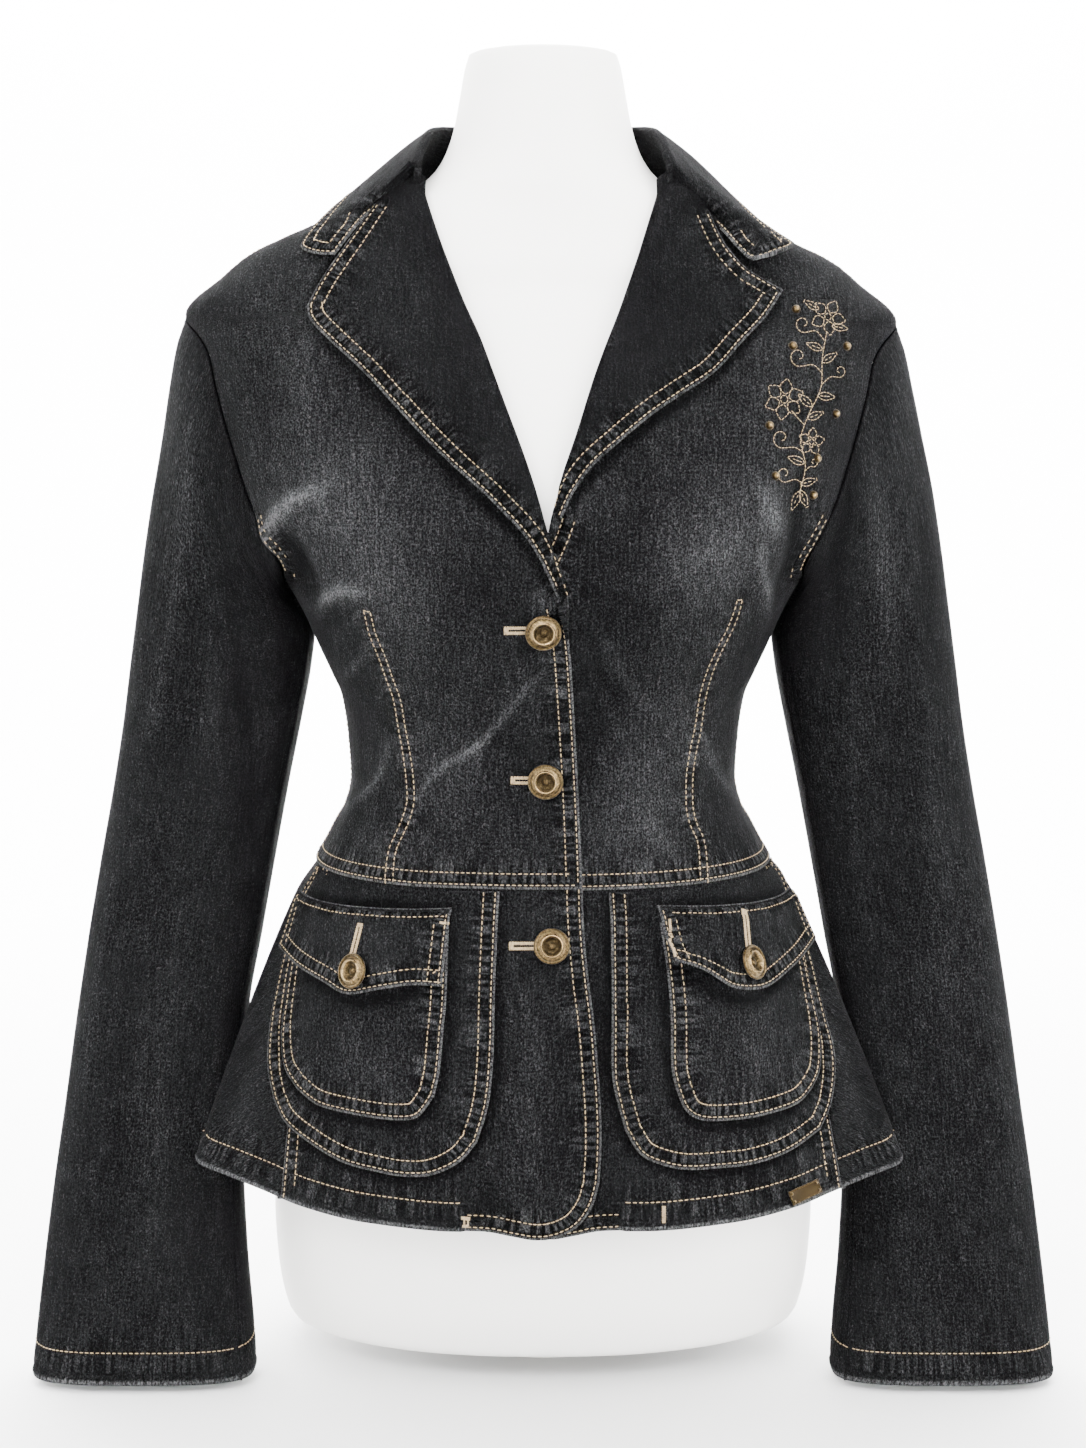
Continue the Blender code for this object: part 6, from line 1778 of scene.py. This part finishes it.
def model_button():
    """Jeans button: shank, dished face with a rolled rim, a raised ring and a small boss."""
    nothing_selected()
    radius, height = BUTTON_PROFILE[0]
    bpy.ops.mesh.primitive_cylinder_add(vertices=48, radius=radius, depth=height,
                                        location=(0, 0, height / 2))
    button = bpy.context.object
    bpy.ops.object.transform_apply(location=True, rotation=False, scale=False)
    bpy.ops.object.mode_set(mode="EDIT")
    bm = bmesh.from_edit_mesh(button.data)
    for face in bm.faces:
        face.select = face.normal.z > 0.9
    bmesh.update_edit_mesh(button.data)
    for next_radius, next_height in BUTTON_PROFILE[1:]:
        bpy.ops.mesh.extrude_region_move(TRANSFORM_OT_translate={"value": (0, 0, next_height - height)})
        bpy.ops.transform.resize(value=(next_radius / radius, next_radius / radius, 1))
        radius, height = next_radius, next_height
    bpy.ops.object.mode_set(mode="OBJECT")
    return finished_metal(button, "button", 0.0058)


def model_stud():
    """Low brass dome with a thin rim."""
    nothing_selected()
    bpy.ops.mesh.primitive_uv_sphere_add(segments=20, ring_count=12, radius=STUD_RADIUS)
    stud = bpy.context.object
    bpy.ops.object.mode_set(mode="EDIT")
    bpy.ops.mesh.select_all(action="SELECT")
    bpy.ops.mesh.bisect(plane_co=(0, 0, 0), plane_no=(0, 0, 1), clear_inner=True)
    bpy.ops.mesh.select_all(action="DESELECT")
    bm = bmesh.from_edit_mesh(stud.data)
    for edge in bm.edges:
        edge.select = edge.is_boundary
    bmesh.update_edit_mesh(stud.data)
    bpy.ops.mesh.extrude_region_move()
    bpy.ops.transform.resize(value=(1.14, 1.14, 1))
    bpy.ops.mesh.extrude_region_move(TRANSFORM_OT_translate={"value": (0, 0, -0.0004)})
    bpy.ops.mesh.select_all(action="SELECT")
    bpy.ops.transform.resize(value=(1, 1, 0.85))
    bpy.ops.object.mode_set(mode="OBJECT")
    return finished_metal(stud, "stud", 0.0027)


def model_plate():
    """Small bare plate with eased edges and a sunk face."""
    nothing_selected()
    bpy.ops.mesh.primitive_cube_add(size=1)
    plate = bpy.context.object
    plate.scale = (PLATE["wide"], PLATE["tall"], PLATE["thick"])
    bpy.ops.object.transform_apply(location=False, rotation=False, scale=True)
    bpy.ops.object.mode_set(mode="EDIT")
    bpy.ops.mesh.select_all(action="SELECT")
    bpy.ops.mesh.bevel(offset=0.00035, segments=3, affect="EDGES")
    bm = bmesh.from_edit_mesh(plate.data)
    widest = max(bm.faces, key=lambda face: face.normal.z * face.calc_area())
    for face in bm.faces:
        face.select = face == widest
    bmesh.update_edit_mesh(plate.data)
    bpy.ops.mesh.inset(thickness=0.0004, depth=0)
    bpy.ops.mesh.inset(thickness=0.0002, depth=-0.00015)
    bpy.ops.object.mode_set(mode="OBJECT")
    return finished_metal(plate, "plate", 0.0006, 0.85)


def set_on(model, name, place, normal, size=1.0, turn=0.0, nod=0.0, roll=0.0):
    """Copy of a metal piece standing on the cloth; turn and nod tip it, in degrees."""
    out = Vector(normal).normalized()
    right = Vector((0, 0, 1)).cross(out).normalized()
    up = out.cross(right)
    frame_turn = Matrix((right, up, out)).transposed()
    tip = Matrix.Rotation(math.radians(turn), 3, "Y") @ Matrix.Rotation(math.radians(nod), 3, "X")
    tip = tip @ Matrix.Rotation(math.radians(roll), 3, "Z")
    piece = bpy.data.objects.new(name, model.data.copy())
    bpy.context.scene.collection.objects.link(piece)
    piece.data.name = name
    placed = Matrix.Translation(Vector(place)) @ (frame_turn @ tip).to_4x4()
    piece.data.transform(placed @ Matrix.Diagonal((size, size, size, 1)))
    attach(piece, "root")
    return piece


# Buttons: cloth they stand on, x, height, how far off the cloth, turn and nod
BUTTONS = {
    "button_1": ("front_right", 0.0001, 0.4336, 0.0005, 3, 2),
    "button_2": ("front_right", 0.0016, 0.3492, 0.0006, -4, -2),
    "button_3": ("peplum_front_right", 0.0046, 0.2621, 0.0005, 2, 1),
    "button_flap_right": ("flap_right", -0.1020, 0.2450, 0.0016, -10, 5),
    "button_flap_left": ("flap_left", 0.1130, 0.2480, 0.0016, 10, 3),
}
PLATE = {"x": 0.1435, "height": 0.1240, "wide": 0.0210, "tall": 0.0078, "thick": 0.0012, "tilt": 12.0,
         "stand off": 0.0006}
RIVETS = [(across, along) for across in (-0.0088, 0.0088) for along in (0.0022, -0.0022)]
RIVET_SIZE = 0.40
RIVET_SUNK = 0.0002
STUD_RADIUS = 0.0023
STUD_STAND_OFF = 0.0002


def hardware():
    """Buttons, the hem plate with its rivets, and the studs of the embroidery."""
    button = model_button()
    for name, (skin, x, z, off, turn, nod) in BUTTONS.items():
        place, normal, _ = seated(skin, seen(skin, x, z), off)
        piece = set_on(button, f"{name}_brass", place, normal, 1.0, turn, nod)
        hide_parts(name)
    bpy.data.objects.remove(button)

    stud = model_stud()
    plate = model_plate()
    skin = "peplum_front_left"
    spot = seen(skin, PLATE["x"], PLATE["height"])
    normal = BASES[skin].find_nearest(spot)[1]
    place = spot + normal * (PLATE["thick"] / 2 + PLATE["stand off"])
    piece = set_on(plate, "hem_plate_brass", place, normal, 1.0, 0, 0, PLATE["tilt"])
    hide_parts("hem_plate")
    right = Vector((0, 0, 1)).cross(normal).normalized()
    up = normal.cross(right)
    tilt = math.radians(PLATE["tilt"])
    level = right * math.cos(tilt) + up * math.sin(tilt)
    upright = up * math.cos(tilt) - right * math.sin(tilt)
    for number, (across, along) in enumerate(RIVETS):
        at = place + level * across + upright * along + normal * (PLATE["thick"] / 2 - RIVET_SUNK)
        set_on(stud, f"hem_plate_rivet_{number + 1}", at, normal, RIVET_SIZE)
    bpy.data.objects.remove(plate)

    for number, (x, z) in enumerate(STUDS):
        place, normal, _ = seated("front_left", seen("front_left", x, z), STUD_STAND_OFF)
        set_on(stud, f"stud_{number + 1}", place, normal)
    bpy.data.objects.remove(stud)


# Buttonholes: cloth, start and end of the bar at the far end, its width, start and end of the slot,
# half the width between its two sides
BUTTONHOLES = [
    ("front_right", (-0.0208, 0.4339), (-0.0184, 0.4339), 0.0046,
     (-0.0190, 0.4339), (-0.0066, 0.4339), 0.0014),
    ("front_right", (-0.0176, 0.3494), (-0.0153, 0.3494), 0.0044,
     (-0.0158, 0.3494), (-0.0044, 0.3493), 0.0014),
    ("peplum_front_right", (-0.0184, 0.2622), (-0.0160, 0.2622), 0.0046,
     (-0.0165, 0.2622), (-0.0030, 0.2623), 0.0014),
    ("flap_right", (-0.1006, 0.2700), (-0.1010, 0.2680), 0.0040,
     (-0.1010, 0.2682), (-0.1056, 0.2500), 0.0012),
    ("flap_left", (0.1116, 0.2752), (0.1118, 0.2728), 0.0040,
     (0.1118, 0.2730), (0.1140, 0.2480), 0.0012),
]
BUTTONHOLE_SIDE = 0.0017
# Bartacks: cloth, start, end, width
BARTACKS = [
    ("peplum_front_right", (-0.0440, 0.1190), (-0.0392, 0.1187), 0.0018),
    ("peplum_front_right", (-0.0434, 0.1148), (-0.0402, 0.1146), 0.0016),
    ("peplum_front_right", (-0.0424, 0.1186), (-0.0424, 0.1150), 0.0010),
    ("peplum_front_right", (-0.0404, 0.1186), (-0.0404, 0.1150), 0.0010),
    ("peplum_front_left", (0.0652, 0.1245), (0.0652, 0.1156), 0.0020),
    ("flap_right", (-0.0510, 0.2742), (-0.0560, 0.2745), 0.0014),
    ("flap_left", (0.0645, 0.2750), (0.0690, 0.2754), 0.0014),
]


def bars():
    """Buttonholes and bartacks, those of one cloth joined into one piece."""
    lines = []
    for skin, bar_start, bar_end, bar_width, start, end, half in BUTTONHOLES:
        lines.append((skin, bar_start, bar_end, bar_width, 0))
        lines.append((skin, start, end, BUTTONHOLE_SIDE, half))
        lines.append((skin, start, end, BUTTONHOLE_SIDE, -half))
    lines += [(*bartack, 0) for bartack in BARTACKS]
    by_cloth = {}
    for skin, *line in lines:
        by_cloth.setdefault(skin, []).extend(satin(skin, *line))
    for skin, places in by_cloth.items():
        threads(f"{skin}_bars", places)


# Embroidery on the wearer's left front: a flowering vine with brass studs


def curl(x, z, size, start, hand, turns=1.2):
    """Spiral that winds in from x, z; start is its first heading in degrees."""
    points = [(x, z)]
    heading = math.radians(start)
    count = int(14 * turns)
    for step in range(count):
        reach = size * (1 - 0.88 * step / count) * 0.44
        points.append((points[-1][0] + reach * math.cos(heading), points[-1][1] + reach * math.sin(heading)))
        heading += hand * math.radians(360 / 14)
    return points


def leaf(x, z, length, width, heading):
    """Outline of a pointed leaf from its foot, and its rib."""
    ahead = np.array([math.cos(math.radians(heading)), math.sin(math.radians(heading))])
    aside = np.array([-ahead[1], ahead[0]])
    share = np.linspace(0, 1, 7)
    foot = np.array([x, z])
    sides = []
    for hand in (1, -1):
        bulge = hand * width / 2 * np.sin(np.pi * share ** 0.85)
        sides.append([tuple(foot + ahead * length * t + aside * b) for t, b in zip(share, bulge)])
    rib = [tuple(foot + ahead * length * 0.15), tuple(foot + ahead * length * 0.70)]
    return [sides[0] + sides[1][::-1][1:], rib]


def flower(x, z, size, petals, start):
    """Ring of round petals about a small middle."""
    lines = []
    for number in range(petals):
        heading = start + 360 / petals * number
        lines.append(leaf(x + 0.25 * size * math.cos(math.radians(heading)),
                          z + 0.25 * size * math.sin(math.radians(heading)),
                          0.75 * size, 0.62 * size, heading)[0])
    middle = [(x + 0.18 * size * math.cos(turn), z + 0.18 * size * math.sin(turn))
              for turn in np.linspace(0, 6.28, 9)]
    return lines + [middle]


def tendril(points, size, hand):
    """Side shoot that ends in a curl; hand is the way it turns."""
    (x0, z0), (x1, z1) = points[-2:]
    heading = math.degrees(math.atan2(z1 - z0, x1 - x0))
    return points[:-1] + curl(x1, z1, size, heading, hand)


STEM = [(0.1400, 0.5060), (0.1430, 0.5200), (0.1400, 0.5340), (0.1450, 0.5480), (0.1520, 0.5620),
        (0.1530, 0.5780), (0.1560, 0.5930)]
SHOOT = [(0.1425, 0.5420), (0.1385, 0.5460), (0.1350, 0.5500)]
TENDRILS = [
    ([(0.1412, 0.5110), (0.1370, 0.5128), (0.1330, 0.5120)], 0.0046, -1),
    ([(0.1420, 0.5270), (0.1370, 0.5300), (0.1310, 0.5300)], 0.0055, -1),
    ([(0.1530, 0.5700), (0.1480, 0.5745), (0.1420, 0.5740)], 0.0056, -1),
    ([(0.1525, 0.5640), (0.1575, 0.5680), (0.1620, 0.5680)], 0.0036, 1),
    ([(0.1545, 0.5880), (0.1500, 0.5930), (0.1450, 0.5925)], 0.0050, -1),
    ([(0.1425, 0.5170), (0.1455, 0.5195), (0.1470, 0.5195)], 0.0026, 1),
]
# Flowers: x, z, size, petals, first petal; leaves: x, z, length, width, heading
FLOWERS = [
    (0.1310, 0.5560, 0.0112, 6, 20), (0.1570, 0.6010, 0.0100, 5, 60), (0.1465, 0.5330, 0.0075, 5, 10),
]
LEAVES = [
    (0.1425, 0.5215, 0.0105, 0.0042, 160), (0.1402, 0.5100, 0.0100, 0.0040, 15),
    (0.1400, 0.5065, 0.0115, 0.0046, 245), (0.1402, 0.5070, 0.0105, 0.0042, -65),
    (0.1440, 0.5455, 0.0100, 0.0040, 20), (0.1470, 0.5520, 0.0105, 0.0042, 140),
    (0.1500, 0.5580, 0.0105, 0.0042, -5), (0.1528, 0.5760, 0.0100, 0.0040, 30),
    (0.1535, 0.5830, 0.0100, 0.0040, 160), (0.1590, 0.5960, 0.0095, 0.0038, -10),
    (0.1520, 0.6050, 0.0095, 0.0038, 150),
]
STUDS = [(0.1390, 0.6050), (0.1365, 0.5850), (0.1675, 0.5850), (0.1610, 0.5480),
         (0.1225, 0.5420), (0.1255, 0.5150), (0.1500, 0.5240), (0.1480, 0.5040)]


def embroidery():
    """Rows of small stitches along the stem, shoots, flowers and leaves."""
    lines = [STEM, SHOOT] + [tendril(*shoot) for shoot in TENDRILS]
    for bloom in FLOWERS:
        lines += flower(*bloom)
    for blade in LEAVES:
        lines += leaf(*blade)
    skin = "front_left"
    places = []
    for line in lines:
        even = flowing(line, np.linspace(0, 1, 4 * len(line)))
        on_cloth = np.array([seen(skin, x, z) for x, z in even])
        places += row_places(skin, on_cloth, 0, [], VINE_PITCH, VINE_STITCH, VINE_THICK)
    threads("embroidery", places)


bars()
embroidery()
hardware()
bpy.data.objects.remove(STITCH_MODEL)

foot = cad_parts["form_foot"]
foot.data.materials.clear()
foot.data.materials.append(MATERIALS["form"])


# Studio


# Lamps: name, place, what it is aimed at, size, power
LAMPS = [
    ("key", (-1.1, -2.4, 2.0), (0, 0, 0.40), 1.8, 290),
    ("fill", (1.9, -1.8, 1.2), (0, 0, 0.35), 1.8, 150),
    ("top", (0, -0.2, 2.6), (0, 0, 0.40), 1.8, 8),
    ("backdrop", (0, 1.1, 2.8), (0, 3.1, 1.6), 2.5, 950),
]
SKY = 0.84
BACKDROP = {"wide": 8, "deep": 4.5, "middle": -1.0, "bend": 0.14, "bends": 10, "tall": 4}
LENS, SENSOR = 62.15, 36
CAMERA_PLACE = (0, -1.4496, 0.561)
CAMERA_DOWN = math.atan(334 / 2500)


def studio():
    """Pale floor that curves up into a wall, four lamps and a white sky."""
    nothing_selected()
    bpy.ops.mesh.primitive_plane_add(size=1, location=(0, 0, -0.0001))
    floor = bpy.context.object
    floor.name = "floor and backdrop"
    floor.scale = (BACKDROP["wide"], BACKDROP["deep"], 1)
    floor.location.y = BACKDROP["middle"]
    bpy.ops.object.transform_apply(location=True, rotation=False, scale=True)
    bpy.ops.object.mode_set(mode="EDIT")
    bm = bmesh.from_edit_mesh(floor.data)
    back = [edge for edge in bm.edges if all(vert.co.y > 1.2 for vert in edge.verts)]
    for edge in bm.edges:
        edge.select = edge in back
    bmesh.update_edit_mesh(floor.data)
    for step in range(BACKDROP["bends"]):
        turn = math.radians(90 / BACKDROP["bends"] * (step + 0.5))
        bpy.ops.mesh.extrude_region_move(TRANSFORM_OT_translate={
            "value": (0, BACKDROP["bend"] * math.cos(turn), BACKDROP["bend"] * math.sin(turn))})
    bpy.ops.mesh.extrude_region_move(TRANSFORM_OT_translate={"value": (0, 0, BACKDROP["tall"])})
    bpy.ops.object.mode_set(mode="OBJECT")
    bpy.ops.object.shade_smooth()
    floor.data.materials.append(backdrop())

    for name, place, aim, size, power in LAMPS:
        light = bpy.data.lights.new(name, "AREA")
        light.size = size
        light.energy = power
        lamp = bpy.data.objects.new(name, light)
        lamp.location = place
        lamp.rotation_euler = (Vector(aim) - Vector(place)).to_track_quat("-Z", "Y").to_euler()
        bpy.context.scene.collection.objects.link(lamp)
    world = bpy.data.worlds.new("studio air")
    world.use_nodes = True
    air = world.node_tree.nodes["Background"]
    air.inputs["Color"].default_value = (1, 1, 1, 1)
    air.inputs["Strength"].default_value = SKY
    bpy.context.scene.world = world


def camera():
    """In front of the blazer and aimed a little down, as the photo was taken."""
    data = bpy.data.cameras.new("camera")
    data.lens = LENS
    data.sensor_width = SENSOR
    view = bpy.data.objects.new("camera", data)
    view.location = CAMERA_PLACE
    view.rotation_euler = (math.pi / 2 - CAMERA_DOWN, 0, 0)
    bpy.context.scene.collection.objects.link(view)
    bpy.context.scene.camera = view


studio()
camera()
